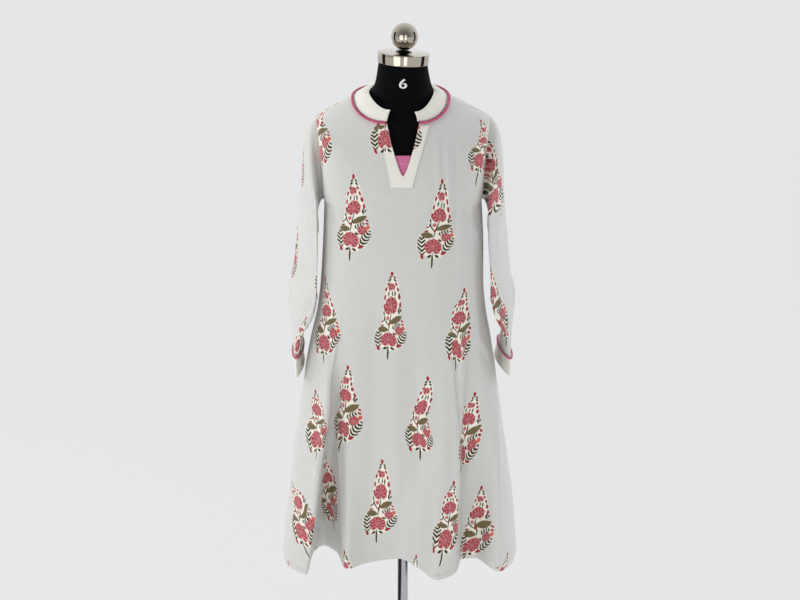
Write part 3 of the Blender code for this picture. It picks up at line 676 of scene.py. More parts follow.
def measure_down(points):
    """The length down each column, nought at the first row."""
    steps = np.linalg.norm(np.diff(points, axis=0), axis=2)
    return np.concatenate([np.zeros((1, points.shape[1])), np.cumsum(steps, axis=0)], axis=0)


def measure_round(points):
    """The length along each row, nought at its first column."""
    return measure_down(points.transpose(1, 0, 2)).transpose(1, 0)


def close_holes(bm):
    """Joins the doubles, then lays a face over every opening."""
    bmesh.ops.remove_doubles(bm, verts=bm.verts, dist=DOUBLES_REACH)
    bmesh.ops.holes_fill(bm, edges=[edge for edge in bm.edges if edge.is_boundary], sides=0)


def add_patch(bm, points, across, height, slot=0):
    """One grid of faces, with the cloth's own metres in its map."""
    layer = bm.loops.layers.uv.verify()
    rows, columns = points.shape[:2]
    corners = [[bm.verts.new(points[row, column]) for column in range(columns)] for row in range(rows)]
    for row in range(rows - 1):
        for column in range(columns - 1):
            around = ((row, column), (row + 1, column), (row + 1, column + 1), (row, column + 1))
            face = bm.faces.new([corners[r][c] for r, c in around])
            face.material_index = slot
            face.smooth = True
            for loop, (r, c) in zip(face.loops, around):
                loop[layer].uv = (across[r, c], height[r, c])


def cloth_object(name, bm, materials, thickness=None):
    """A finished piece from a bmesh: doubles merged, faces turned out, and given its thickness."""
    bmesh.ops.remove_doubles(bm, verts=bm.verts, dist=DOUBLES_REACH)
    bmesh.ops.recalc_face_normals(bm, faces=bm.faces)
    data = bpy.data.meshes.new(name)
    bm.to_mesh(data)
    bm.free()
    data.uv_layers[0].name = "cloth"
    for material in materials:
        data.materials.append(material)
    piece = bpy.data.objects.new(name, data)
    bpy.context.scene.collection.objects.link(piece)
    if thickness:
        wall = piece.modifiers.new("wall", "SOLIDIFY")
        wall.thickness = thickness
        wall.offset = 0.0
        make_active(piece)
        bpy.ops.object.modifier_apply(modifier=wall.name)
    return piece


def grid_area(points):
    """The area of a grid of points, in square metres."""
    first = np.cross(points[1:, :-1] - points[:-1, :-1], points[:-1, 1:] - points[:-1, :-1])
    second = np.cross(points[:-1, 1:] - points[1:, 1:], points[1:, :-1] - points[1:, 1:])
    return float((np.linalg.norm(first, axis=2) + np.linalg.norm(second, axis=2)).sum() / 2)


# %% [markdown]
# ## The print
# The cloth is printed with a buta, the old teardrop of flowers that block printers have used for hundreds
# of years. It repeats in a half drop: every second column starts half a repeat lower. The whole motif is
# arithmetic. Each leaf, bud and flower gives the distance to its edge in millimetres, and the largest of
# these distances says which colour a point gets.

# %% Node groups and colours
def add_group(name, inputs, outputs):
    """A shader node group with named sockets: its recipe, what it is given, and its last node."""
    tree = bpy.data.node_groups.new(name, "ShaderNodeTree")
    for label, kind in inputs:
        tree.interface.new_socket(label, in_out="INPUT", socket_type="NodeSocket" + kind)
    for label, kind in outputs:
        tree.interface.new_socket(label, in_out="OUTPUT", socket_type="NodeSocket" + kind)
    given = tree.nodes.new("NodeGroupInput")
    return Recipe(tree), given.outputs, tree.nodes.new("NodeGroupOutput")


def srgb(red, green, blue):
    """A colour as the eye reads it, 0 to 255, turned into the linear light that shaders use."""
    values = [channel / 255.0 for channel in (red, green, blue)]
    return (*[v / 12.92 if v <= 0.04045 else ((v + 0.055) / 1.055) ** 2.4 for v in values], 1.0)


# %% Shapes of the print, each as a distance to its edge in millimetres
TOOTH = 0.9


def leaf(r, point, at, turn, half_length, half_width, margin=0.0):
    """A leaf or bud with two points, its length along its own Y."""
    bend = (half_length ** 2 - half_width ** 2) / (2.0 * half_width)
    own = r.vector("ABSOLUTE", r.move(point, at, turn))
    reach = r.length(r.vector("ADD", own, (bend, 0.0, 0.0)))
    return r.math("SUBTRACT", bend + half_width + margin, reach)


def oval(r, point, at, turn, half_length, half_width):
    reach = r.length(r.move(point, at, turn, (half_width, half_length, 1.0)))
    small = min(half_length, half_width)
    return r.math("MULTIPLY_ADD", reach, -small, small)


def toothed_leaf(r, point, at, turn, half_length, half_width):
    x, y = r.split(r.move(point, at, turn))
    teeth = r.math("PINGPONG", r.math("MULTIPLY_ADD", r.math("ABSOLUTE", x), -0.8, y), 1.7)
    return r.math("MULTIPLY_ADD", teeth, -TOOTH, leaf(r, point, at, turn, half_length, half_width, TOOTH))


def stacked_leaves(r, own, climb, half_length, half_width, pitch):
    """Stripes wherever the climb has gone up by a pitch, kept inside an oval."""
    stripe = r.math("SUBTRACT", r.math("PINGPONG", climb, pitch / 2), pitch * 0.2)
    reach = r.length(r.move(own, (0.0, 0.0), 0.0, (half_width, half_length, 1.0)))
    return r.math("MINIMUM", stripe, r.math("MULTIPLY_ADD", reach, -half_width, half_width))


def leaf_rows(r, point, at, turn, half_length, half_width, pitch, lean):
    """Two rows of small leaves along a twig, leaning upwards like a row of chevrons."""
    own = r.move(point, at, turn)
    x, y = r.split(own)
    climb = r.math("MULTIPLY_ADD", r.math("ABSOLUTE", x), -lean, y)
    return stacked_leaves(r, own, climb, half_length, half_width, pitch)


def arc_rows(r, point, at, turn, half_length, half_width, pitch, bow):
    """A stack of curved leaves, one above the other."""
    own = r.move(point, at, turn)
    x, y = r.split(own)
    climb = r.math("MULTIPLY_ADD", r.math("MULTIPLY", x, x), bow, y)
    return stacked_leaves(r, own, climb, half_length, half_width, pitch)


def carnation(r, point, at, turn, radius, petals):
    """A fringed flower seen from the side: its disc, and the darker strokes on its petals."""
    own = r.move(point, at, turn, (radius, radius, 1.0))
    x, y = r.split(own)
    angle = r.math("ARCTAN2", x, y)
    reach = r.length(own)
    frill = r.math("COSINE", r.math("MULTIPLY", angle, petals))
    notch = r.math("MULTIPLY_ADD", r.math("ABSOLUTE", angle), 1.5, -3.9, clamp=True)
    edge = r.math("MULTIPLY_ADD", notch, -0.55, r.math("MULTIPLY_ADD", frill, 0.045, 0.97))
    disc = r.math("MULTIPLY", r.math("SUBTRACT", edge, reach), radius)
    outer = r.math("SUBTRACT", 0.19, r.math("ABSOLUTE", r.math("SUBTRACT", reach, 0.68)))
    spoke = r.math("MULTIPLY_ADD", frill, -0.16, -0.045)
    inner = r.math("SUBTRACT", 0.09, r.math("ABSOLUTE", r.math("SUBTRACT", reach, 0.34)))
    heart = r.math("MINIMUM", inner, r.math("MULTIPLY", frill, 0.12))
    stroke = r.math("MAXIMUM", r.math("MINIMUM", outer, spoke), heart)
    return disc, r.math("MULTIPLY", stroke, radius)


# %% The buta motif and its half-drop repeat
COLUMN_PITCH = 95.0
REPEAT = 434.0
DROP = 217.0
INK_EDGE = 0.30

RED_BUDS = [((0, 185), 0, 6.2, 3.4), ((-23, 25), 24, 6.4, 3.6), ((24, 33), -62, 7.4, 3.9),
            ((-18, 84), -74, 5.4, 2.2), ((-18, 94), -56, 4.2, 2.0), ((36, 98), 60, 5.4, 2.3),
            ((37, 90), 72, 5.6, 2.4), ((-15, 124), 6, 5.0, 2.0), ((25, 129), 14, 5.8, 2.9),
            ((-14, 139), -12, 4.8, 2.2), ((19, 142), 20, 5.4, 3.2), ((0, 88), -30, 3.8, 2.4)]
RED_PAIRS = [((8.2, 163), 36, 4.6, 2.2), ((13.0, 153), 20, 4.8, 2.3)]
DARK_PAIRS = [((4.4, 177), 34, 4.0, 2.0), ((5.6, 171), 52, 4.2, 2.0), ((7.0, 145), 6, 5.4, 1.7),
              ((8.0, 26), 58, 5.6, 2.9)]
DARK_LEAVES = [((2, 145), 0, 5.6, 1.4), ((24, 117), 30, 5.4, 2.0), ((29, 120), -34, 4.8, 2.0),
               ((24, 122), -4, 4.6, 1.8), ((-8, 94), 36, 13.0, 1.5), ((-13, 101), -16, 7.0, 1.8),
               ((-15, 111), 8, 5.6, 1.8), ((-1, 14), -2, 21.0, 2.2), ((2, 92), -6, 30.0, 1.5),
               ((15, 63), 52, 5.2, 2.6), ((-13, 118), 30, 3.6, 1.5)]


LEAF_ROWS = [((-25, 50), 6, 22.0, 10.5, 8.8, 0.8)]
ARC_ROWS = [((34, 53), -30, 23.0, 10.5, 8.6, -0.075), ((20, 84), -56, 14.0, 6.2, 6.4, -0.12)]
OLIVE_LEAVES = [((18, 99), -60, 20.0, 7.4), ((-15, 74), 84, 14.0, 7.6)]
CARNATIONS = [((2, 124), 12, 16.5, 9.0), ((1, 47), -3, 19.5, 11.0), ((28, 72), 34, 11.8, 7.0),
              ((0, 157), 14, 7.6, 5.0)]
ROSE_BUD = ((-4, 102), 0, 5.0, 4.4)
CORAL_BUD = ((40, 81), 20, 5.2, 4.4)
DROP_OVAL = ((4, 54), 0, 33.0, 32.0)
DROP_TIP = ((3, 104), -2, 78.0, 21.0)
HALO_CREAM = srgb(236, 233, 220)
OLIVE_INK = (srgb(96, 84, 50), srgb(122, 108, 76))
DARK_INK = (srgb(38, 36, 18), srgb(70, 62, 34))
ROSE_INK = (srgb(176, 78, 90), srgb(212, 134, 132))
CORAL_INK = (srgb(206, 96, 72), srgb(206, 96, 72))
RED_INK = (srgb(138, 28, 46), srgb(172, 50, 64))
STROKE_INK = srgb(126, 32, 50)


def cell_of_print(r, place):
    """The place in its own repeat, with the middle of the motif's foot at nought."""
    x, y = r.split(place)
    column = r.math("FLOOR", r.math("MULTIPLY_ADD", x, 1.0 / COLUMN_PITCH, 0.5))
    odd = r.math("FLOORED_MODULO", column, 2.0)
    along = r.math("FLOORED_MODULO", r.math("MULTIPLY_ADD", odd, -DROP, y), REPEAT)
    flat = r.join(r.math("MULTIPLY_ADD", column, -COLUMN_PITCH, x), along)
    wander = r.vector("SUBTRACT", r.noise(place, 0.35, 1.0, "Color"), (0.5, 0.5, 0.5))
    return r.split(r.vector("MULTIPLY_ADD", wander, (1.6, 1.6, 0.0), flat))


def printed_motif():
    """Gives the print's colour over plain cloth, from a place on the cloth in millimetres."""
    r, given, out = add_group("buta_print", [("Place", "Vector"), ("Cloth", "Color")],
                              [("Color", "Color"), ("Ink", "Float")])
    x, y = cell_of_print(r, given["Place"])
    point = r.join(x, y)
    pair = r.join(r.math("ABSOLUTE", r.math("SUBTRACT", x, 1.0)), y)

    def all_of(shape, rows, at=point):
        return [shape(r, at, *row) for row in rows]

    def share_of(distance):
        return r.math("MULTIPLY_ADD", distance, 0.5 / INK_EDGE, 0.5, clamp=True)

    red = r.widest(all_of(leaf, RED_BUDS) + all_of(leaf, RED_PAIRS, pair))
    dark = r.widest(all_of(leaf, DARK_PAIRS, pair) + all_of(leaf, DARK_LEAVES) + all_of(leaf_rows, LEAF_ROWS)
                    + all_of(arc_rows, ARC_ROWS))
    olive = r.widest(all_of(toothed_leaf, OLIVE_LEAVES))
    discs, marks = zip(*all_of(carnation, CARNATIONS))
    rose = r.widest([*discs, oval(r, point, *ROSE_BUD)])
    stroke = r.widest(marks)
    coral = oval(r, point, *CORAL_BUD)

    nearest = r.widest([red, dark, olive, rose, coral])
    near_ink = r.math("MULTIPLY_ADD", nearest, 0.8, 1.3, clamp=True)
    drop = r.math("MAXIMUM", oval(r, point, *DROP_OVAL), leaf(r, point, *DROP_TIP))
    halo = r.math("MAXIMUM", near_ink, r.math("MULTIPLY_ADD", drop, 0.6, 0.5, clamp=True))
    tone = r.noise(given["Place"], 0.12, 2.0)
    colour = r.blend(halo, given["Cloth"], HALO_CREAM)
    for shape, ink in ((olive, OLIVE_INK), (dark, DARK_INK), (rose, ROSE_INK), (coral, CORAL_INK)):
        colour = r.blend(share_of(shape), colour, r.blend(tone, *ink))
    petal = r.math("MULTIPLY", share_of(rose), share_of(stroke))
    colour = r.blend(r.math("MULTIPLY", petal, 0.9), colour, STROKE_INK)
    colour = r.blend(share_of(red), colour, r.blend(tone, *RED_INK))
    r.fill(out, {"Color": colour, "Ink": share_of(nearest)})
    print("print nodes:", len(r.tree.nodes))
    return r.tree


BUTA = printed_motif()


# %% [markdown]
# ## Finishes
# The cotton is a plain weave, thread over thread, with a few thicker threads. Its height goes into a
# bump, so the cloth catches a soft sheen up close and reads as matt from afar.

# %% The weave group
def woven_cotton():
    """Height of the threads in metres, and the uneven tone of cotton yarn."""
    r, given, out = add_group("woven_cotton", [("Place", "Vector"), ("Thread", "Float")],
                              [("Height", "Float"), ("Tone", "Float")])
    x, y = r.split(given["Place"])
    turns = r.math("DIVIDE", pi, given["Thread"])
    warp = r.math("SINE", r.math("MULTIPLY", x, turns))
    weft = r.math("SINE", r.math("MULTIPLY", y, turns))
    threads = r.math("MULTIPLY", warp, weft)
    slub = r.noise(r.join(r.math("MULTIPLY", x, 0.05), r.math("MULTIPLY", y, 1.4)), 1.0, 2.0)
    rumple = r.noise(given["Place"], 0.045, 3.0)
    height = r.math("MULTIPLY_ADD", threads, 0.00003, r.math("MULTIPLY", slub, 0.00004))
    height = r.math("MULTIPLY_ADD", rumple, 0.0007, height)
    tone = r.math("MULTIPLY_ADD", slub, 0.5, r.math("MULTIPLY", rumple, 0.5))
    r.fill(out, {"Height": height, "Tone": tone})
    return r.tree


WEAVE = woven_cotton()


NO_FOOT = -9000.0


def cloth_material(name, light, shade, thread=0.4, print_shift=None, print_foot=None):
    """A woven cotton between two tones, printed if it is told where the repeat starts, in millimetres.
    With a print foot, the cloth is plain below that height."""
    made, r = new_material(name)
    metres = r.put("UVMap", {}, uv_map="cloth")
    shift = (*(print_shift or (0.0, 0.0)), 0.0)
    place = r.put("Mapping", {"Vector": metres, "Location": shift, "Scale": (1000.0, 1000.0, 1000.0)})
    weave = r.use(WEAVE, {"Place": place, "Thread": thread})
    colour = r.blend(weave["Tone"], shade, light)
    if print_shift:
        printed = r.use(BUTA, {"Place": place, "Cloth": colour})["Color"]
        above = r.math("SUBTRACT", r.split(place)[1], (print_foot or NO_FOOT) + shift[1], clamp=True)
        colour = r.blend(above, colour, printed)
    r.shade({"Base Color": colour, "Normal": r.bump(weave["Height"]), "Roughness": 0.88,
             "Specular IOR Level": 0.3, "Sheen Weight": 0.25, "Sheen Roughness": 0.5})
    return made


COTTON_LIGHT = srgb(211, 210, 206)
COTTON_SHADE = srgb(202, 202, 198)
CREAM_LIGHT = srgb(236, 234, 225)
CREAM_SHADE = srgb(228, 226, 217)
FRONT_SHIFT = (38.0, 383.0)
SLEEVE_SHIFT = {"right": (30.0, -1240.0), "left": (0.0, -1199.0)}


def printed_cotton(part, print_shift):
    return cloth_material("printed_cotton_" + part, COTTON_LIGHT, COTTON_SHADE, print_shift=print_shift)


FRONT_COTTON = printed_cotton("front", FRONT_SHIFT)
PLACKET_COTTON = cloth_material("printed_cotton_placket", CREAM_LIGHT, CREAM_SHADE, print_shift=FRONT_SHIFT,
                                print_foot=1376.0)
BACK_COTTON = printed_cotton("back", (8.0, -40.0))
SLEEVE_COTTON = {side: printed_cotton(side + "_sleeve", SLEEVE_SHIFT[side]) for side in SIDES}
PLAIN_COTTON = cloth_material("plain_cotton", CREAM_LIGHT, CREAM_SHADE)
ROSE_PIPING = cloth_material("rose_piping", srgb(200, 84, 122), srgb(182, 70, 108), thread=0.5)
PINK_COTTON = cloth_material("pink_cotton", srgb(208, 116, 156), srgb(196, 104, 146))
PALE_THREAD = cloth_material("pale_thread", srgb(246, 206, 222), srgb(238, 196, 214))


def finish_sheet(piece, node):
    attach(piece, "root")
    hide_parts(node)


def finish_trim(piece, node=None):
    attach(piece, "root")
    if node:
        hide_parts(node)


# %% [markdown]
# ## Front and back
# The body is two panels. Each is a grid of points: rows run from the neck down to the hem, and columns
# follow the folds. Above the tip of the V the front is two halves. The hem is the cloth's own edge turned
# up inside by a centimetre.

# %% Where the print hangs
# Each row: a place on the cloth, across and height, then its place in the print, all in millimetres.
# A row of noughts leaves the print as it is.
FRONT_HANG = [
    (-50, 1396, -62, 1400), (-114, 1134, -133, 1136), (-104, 1322, -133, 1326), (62, 1122, 57, 1136),
    (82, 1313, 57, 1326), (-32, 919, -38, 919), (-23, 1116, -38, 1109), (-155, 691, -133, 702),
    (-139, 751, -132, 749), (-130, 830, -131, 826), (-122, 901, -133, 892), (40, 687, 57, 702),
    (54, 880, 57, 892), (-59, 485, -38, 485), (-46, 689, -38, 675), (136, 1070, 152, 1109),
    (124, 1004, 154, 1043), (133, 946, 180, 991), (104, 951, 128, 966), (173, 832, 247, 892),
    (162, 770, 249, 826), (139, 697, 223, 749), (183, 689, 282, 757), (168, 642, 247, 702),
    (124, 645, 152, 675), (118, 584, 154, 609), (118, 510, 153, 532), (122, 458, 152, 485),
    (99, 527, 128, 532),
    (225, 612, 342, 675), (230, 546, 344, 609), (253, 468, 343, 532), (286, 476, 377, 540),
    (-178, 1008, -226, 1043), (-184, 937, -227, 966), (-161, 982, -206, 1007), (-241, 829, -323, 892),
    (-247, 789, -321, 826), (-291, 716, -347, 749), (-256, 726, -322, 749), (-408, 602, -418, 675),
    (-374, 568, -416, 609), (-388, 511, -417, 532), (-335, 567, -382, 580), (-210, 691, -228, 675),
    (-211, 615, -226, 609), (-230, 529, -252, 532), (-206, 540, -193, 540), (-141, 477, -133, 458),
    (43, 467, 57, 458), (374, 454, 437, 458), (-174, 1385, -200, 1425), (-165, 1365, -193, 1408),
    (-174, 1345, -204, 1386), (-220, 1426, -226, 1477), (165, 1291, 152, 1353), (151, 1333, 129, 1378),
    (172, 1342, 153, 1400), (188, 1411, 152, 1510),
]
SLEEVE_HANG = {
    "right": [(0, 0, 0, 0)],
    "left": [
        (-11, 1207, 0, 1202), (-60, 1265, 1, 1246), (-83, 1319, 2, 1323),
        (-64, 1313, 18, 1298), (-88, 1280, -15, 1273), (-112, 1244, -26, 1247), (-50, 1120, -58, 1170),
        (-45, 1060, -57, 1115), (-87, 926, -95, 985), (54, 1116, 60, 1160),
    ],
}
SLEEVE_BIAS = {"right": [(1.237, 0.048), (1.020, 0.052)], "left": []}
HANG_REACH = 0.020
SLIT_SPREAD = {"right": 0.019, "left": 0.021}


def hang_print(across, height, places):
    """The print's own place on the cloth, which hangs off its grain where the skirt flares."""
    total = np.zeros_like(across)
    shift_across = np.zeros_like(across)
    shift_height = np.zeros_like(across)
    for place in places:
        u, v, print_u, print_v = (value / 1000.0 for value in place)
        weight = 1.0 / ((across - u) ** 2 + (height - v) ** 2 + HANG_REACH ** 2) ** 2
        total += weight
        shift_across += weight * (print_u - u)
        shift_height += weight * (print_v - v)
    return across + shift_across / total, height + shift_height / total


def sleeve_print(across, height, side):
    """The print of a sleeve. Its bias moves the lower rows aside, between one row of motifs and the next."""
    for top, aside in SLEEVE_BIAS[side]:
        below = np.clip((top - height) / 0.026, 0.0, 1.0)
        across = across - aside * below * below * (3.0 - 2.0 * below)
    return hang_print(across, height, SLEEVE_HANG[side])


def front_print(across, height, side):
    """As hang_print, with the print of each half moved aside where the V was cut and opened."""
    rise = np.clip((height - V_TIP_HEIGHT) / 0.05, 0.0, 1.0)
    spread = SLIT_SPREAD[side] * rise * np.exp(-np.abs(across) / 0.07)
    return hang_print(across - SIDES[side] * spread, height, FRONT_HANG)


# %% The two body panels
COLUMN_STEPS = 11
CHEST_ROWS = 56
SKIRT_ROWS = 110
# How far each row of the folded hem lies over the hem line, and how far inside it.
HEM_FOLD = [(-0.0006, 0.0004), (-0.0004, 0.0012), (0.0010, 0.0016), (0.0050, 0.0016), (HEM_TURN, 0.0016)]


def snap_nearest(values, wanted):
    """Moves the nearest of the values onto the wanted one, and gives its place in the list."""
    nearest = min(range(len(values)), key=lambda i: abs(values[i] - wanted))
    values[nearest] = wanted
    return nearest


def fold_places(folds):
    """Places across a panel, closer than the folds, with one exactly on the centre line."""
    count = (len(folds) - 1) * COLUMN_STEPS
    places = [i / COLUMN_STEPS for i in range(count + 1)]
    shares = [fold.share for fold in folds]
    centre = halve(0.0, places[-1], 40, lambda place: read_curve(range(len(folds)), shares, place) < 0.0)
    return places, snap_nearest(places, centre)


def panel_grid(front, side, places, shares, levels, heights):
    """Points of a panel, or of the half of a front panel on one side of the V."""
    rows = []
    for level in levels:
        across = [slit_share(share, side, level) for share in shares] if side else shares
        rows.append([chest_point(front, share, level) for share in across])
    rows += [[skirt_point(front, place, height) for place in places] for height in heights]
    return np.array(rows)


def turn_up_hem(points, normals, across, height):
    """Adds the rows of a narrow hem that is folded up on the inside."""
    inward = -normals[-1] * np.array((1.0, 1.0, 0.0))
    inward /= np.linalg.norm(inward, axis=1, keepdims=True)
    rows, widths, heights = [points], [across], [height]
    for rise, inside in HEM_FOLD:
        row = points[-1] + inward * inside
        row[:, 2] = HEM_HEIGHT + rise
        rows.append(row[None])
        widths.append(across[-1:])
        heights.append(height[-1:] - abs(rise) - 0.0006)
    return np.concatenate(rows), np.concatenate(widths), np.concatenate(heights)


def share_the_seam(grids, facing):
    """Gives the two halves of the front the same normals where they meet below the V."""
    apart = np.linalg.norm(grids[0][:, -1] - grids[1][:, 0], axis=1)
    joined = np.flatnonzero(apart < 1e-5)
    shared = facing[0][joined, -1] + facing[1][joined, 0]
    shared /= np.linalg.norm(shared, axis=1, keepdims=True)
    facing[0][joined, -1] = shared
    facing[1][joined, 0] = shared


def body_panel(name, front, material):
    folds = FRONT_FOLDS if front else BACK_FOLDS
    places, middle = fold_places(folds)
    fold_shares = [fold.share for fold in folds]
    shares = [read_curve(range(len(folds)), fold_shares, place) for place in places]
    shares[middle] = 0.0
    levels = [i / CHEST_ROWS for i in range(CHEST_ROWS + 1)]
    if front:
        snap_nearest(levels, V_TIP_LEVEL)
    fall = UNDERARM_HEIGHT - HEM_HEIGHT
    heights = [UNDERARM_HEIGHT - fall * (i + 1) / SKIRT_ROWS for i in range(SKIRT_ROWS)]
    last = len(places) - 1
    parts = [("right", 0, middle), ("left", middle, last)] if front else [(None, 0, last)]
    bm = bmesh.new()
    area = 0.0
    widest = np.zeros(len(levels) + len(heights))
    grids = [panel_grid(front, side, places[first:last + 1], shares[first:last + 1], levels, heights)
             for side, first, last in parts]
    facing = [turned_out(grid_normals(points), points) for points in grids]
    if front:
        share_the_seam(grids, facing)
    for (side, first, last), points, normals in zip(parts, grids, facing):
        push = crease_push(points[:, :, 0], points[:, :, 2], FRONT_CREASES if front else BACK_CREASES)
        if not front:
            edge_fade = np.minimum(1.0, np.minimum(np.arange(last + 1), np.arange(last + 1)[::-1]) / 3.0)
            push = push * edge_fade[None, :]
        points = points + normals * push[:, :, None]
        start = {"right": last - first, "left": 0, None: middle}[side]
        across = measure_across(points, start)
        if side:
            across += points[:, start:start + 1, 0]
        down = measure_down(points)
        height = UNDERARM_HEIGHT + down[CHEST_ROWS][None, :] - down
        area += grid_area(points)
        widest += np.abs(across[:, -1] - across[:, 0])
        points, across, height = turn_up_hem(points, turned_out(grid_normals(points), points), across, height)
        if front:
            across, height = front_print(across, height, side)
        add_patch(bm, points, across if front else -across, height)
    piece = cloth_object(name, bm, [material], THIN_CLOTH)
    width = float(widest.max())
    print(name, "faces", len(piece.data.polygons), "area", round(area, 4), "widest", round(width, 3))
    return piece, area, width


front_panel, FRONT_AREA, FRONT_WIDTH = body_panel("front_cloth", True, FRONT_COTTON)
back_panel, BACK_AREA, BACK_WIDTH = body_panel("back_cloth", False, BACK_COTTON)

# %% [markdown]
# ## Sleeves and cuffs
# A sleeve is a tube that the arm isn't in, so it hangs pressed flat, bends a little at the elbow and
# shows the folds of ironing along its front and back. Its creases are placed by the turn round the
# sleeve and the distance down it.

# %% Sleeves
SLEEVE_LENGTH = 0.575
SLEEVE_COLUMNS = 72
SLEEVE_ROWS = 96
SLEEVE_CREASES = {
    "right": rows_of(Crease, [
        ([(70, 0.56), (40, 0.62), (10, 0.70)], 0.006, 0.0024),
        ([(78, 0.61), (52, 0.67), (30, 0.76)], 0.006, -0.0022),
        ([(84, 0.66), (60, 0.72), (44, 0.80)], 0.005, 0.0020),
        ([(20, 0.16), (34, 0.30), (42, 0.46)], 0.010, 0.0020),
        ([(52, 0.12), (62, 0.22), (66, 0.36)], 0.007, -0.0018),
        ([(-40, 0.20), (-50, 0.40), (-44, 0.56)], 0.010, 0.0022),
        ([(-60, 0.60), (-36, 0.66), (-20, 0.72)], 0.006, 0.0022),
        ([(-70, 0.66), (-46, 0.72)], 0.006, -0.0020),
        ([(120, 0.22), (132, 0.30), (150, 0.36)], 0.006, 0.0018),
        ([(110, 0.56), (136, 0.62), (160, 0.66)], 0.006, 0.0020),
        ([(100, 0.16), (112, 0.20), (128, 0.22)], 0.005, 0.0018),
        ([(150, 0.53), (122, 0.62), (88, 0.73), (62, 0.85)], 0.008, 0.0040),
        ([(166, 0.56), (142, 0.65), (112, 0.76), (90, 0.85)], 0.018, -0.0048),
    ]),
    "left": rows_of(Crease, [
        ([(72, 0.57), (46, 0.63), (16, 0.69)], 0.006, 0.0022),
        ([(80, 0.62), (56, 0.69), (36, 0.78)], 0.006, -0.0022),
        ([(84, 0.70), (64, 0.76), (50, 0.82)], 0.005, 0.0018),
        ([(14, 0.14), (24, 0.28), (30, 0.50)], 0.011, 0.0020),
        ([(48, 0.10), (58, 0.20), (60, 0.34)], 0.008, -0.0018),
        ([(-46, 0.18), (-54, 0.38), (-48, 0.58)], 0.010, 0.0022),
        ([(-62, 0.58), (-40, 0.65), (-22, 0.72)], 0.006, 0.0024),
        ([(-72, 0.64), (-50, 0.71)], 0.006, -0.0018),
        ([(116, 0.20), (130, 0.28), (148, 0.33)], 0.006, 0.0018),
        ([(112, 0.58), (138, 0.64), (158, 0.69)], 0.006, 0.0020),
        ([(152, 0.52), (124, 0.61), (90, 0.72), (64, 0.85)], 0.008, 0.0040),
        ([(168, 0.55), (144, 0.64), (114, 0.75), (92, 0.85)], 0.018, -0.0048),
    ]),
}


def sleeve_grid(side, low, high, rows):
    """Points round a sleeve between two levels; the seam is at the underarm."""
    turns = [mix(-180.0, 180.0, i / SLEEVE_COLUMNS) for i in range(SLEEVE_COLUMNS + 1)]
    grid = []
    for row in range(rows + 1):
        level = mix(low, high, row / rows)
        gap = SIDES[side] * ARMHOLE_GAP * max(0.0, 1.0 - level / 0.012)
        grid.append([sleeve_point(side, level, turn) + Vector((gap, 0.0, 0.0)) for turn in turns])
    return np.array(grid), np.array(turns)


def tube_normals(points):
    """Normals of a closed tube whose last column repeats the first, turned outwards."""
    wide = np.concatenate([points[:, -2:-1], points, points[:, 1:2]], axis=1)
    normals = grid_normals(wide)[:, 1:-1]
    away = points - points[:, :-1].mean(axis=1, keepdims=True)
    return -normals if (normals * away).sum() < 0.0 else normals


def sleeve_cloth(side):
    low = CUFF_LEVEL - 0.004
    points, turns = sleeve_grid(side, 0.0, low, SLEEVE_ROWS)
    girth = measure_round(points)
    levels = np.linspace(0.0, low, SLEEVE_ROWS + 1)
    around = np.broadcast_to(turns[None, :] / 360.0, girth.shape) * girth[:, -1:]
    along = np.broadcast_to(levels[:, None], girth.shape) * SLEEVE_LENGTH
    creases = []
    for crease in SLEEVE_CREASES[side]:
        route = []
        for turn, level in crease.route:
            row = int(round(level / levels[-1] * SLEEVE_ROWS))
            route.append((turn / 360.0 * girth[min(row, SLEEVE_ROWS), -1], level * SLEEVE_LENGTH))
        creases.append(Crease(route, crease.width, crease.depth))
    points = points + tube_normals(points) * crease_push(around, along, creases)[:, :, None]
    middle = SLEEVE_COLUMNS // 2
    across = measure_across(points, middle)
    quarter = SLEEVE_COLUMNS // 4
    whole = int(0.25 / levels[-1] * SLEEVE_ROWS)
    cap_share = np.array([1.0 - ease((level - 0.23) / 0.15) for level in levels])[:, None]
    side_share = np.array([ease((abs(turn) - 15.0) / 45.0) for turn in turns])[None, :]
    for fold, half in ((middle - quarter, slice(0, middle)), (middle + quarter, slice(middle, None))):
        lost = across[whole, fold] - across[:, fold:fold + 1]
        across[:, half] += (lost * cap_share * side_share)[:, half]
    across = across if side == "right" else -across
    down = measure_down(points)[:, middle:middle + 1]
    bm = bmesh.new()
    add_patch(bm, points, *sleeve_print(across, points[:, :, 2], side))
    area = grid_area(points)
    piece = cloth_object("sleeve_cloth_" + side, bm, [SLEEVE_COTTON[side]], THIN_CLOTH)
    wide, length = float(girth[:, -1].max()), float(down.max())
    print(piece.name, "area", round(area, 4), "girth", round(wide, 3), "length", round(length, 3))
    return piece, area, wide, length


# %% Bands of two layers, for the cuffs and the collar
def lined_band(name, points, normals, closed, thickness, materials, roll=1.0):
    """A band with an outer layer, an inner one and a rolled edge along its last row."""
    half = thickness / 2
    edge = points[-1] - points[-2]
    edge /= np.linalg.norm(edge, axis=1, keepdims=True)
    loop = [points[row] + normals[row] * half for row in range(len(points))]
    outer = len(loop)
    for step in range(1, 6):
        turn = pi * step / 6
        loop.append(points[-1] + (normals[-1] * cos(turn) + edge * sin(turn)) * half * roll)
    loop += [points[row] - normals[row] * half for row in range(len(points) - 1, -1, -1)]
    loop.append(loop[0])
    loop = np.array(loop)
    across = np.broadcast_to(measure_round(points[:1]), loop.shape[:2])
    height = -measure_down(loop)
    bm = bmesh.new()
    add_patch(bm, loop[:outer + 3], across, height)
    add_patch(bm, loop[outer + 2:], across, height, slot=len(materials) - 1)
    if not closed:
        close_holes(bm)
    return cloth_object(name, bm, materials)


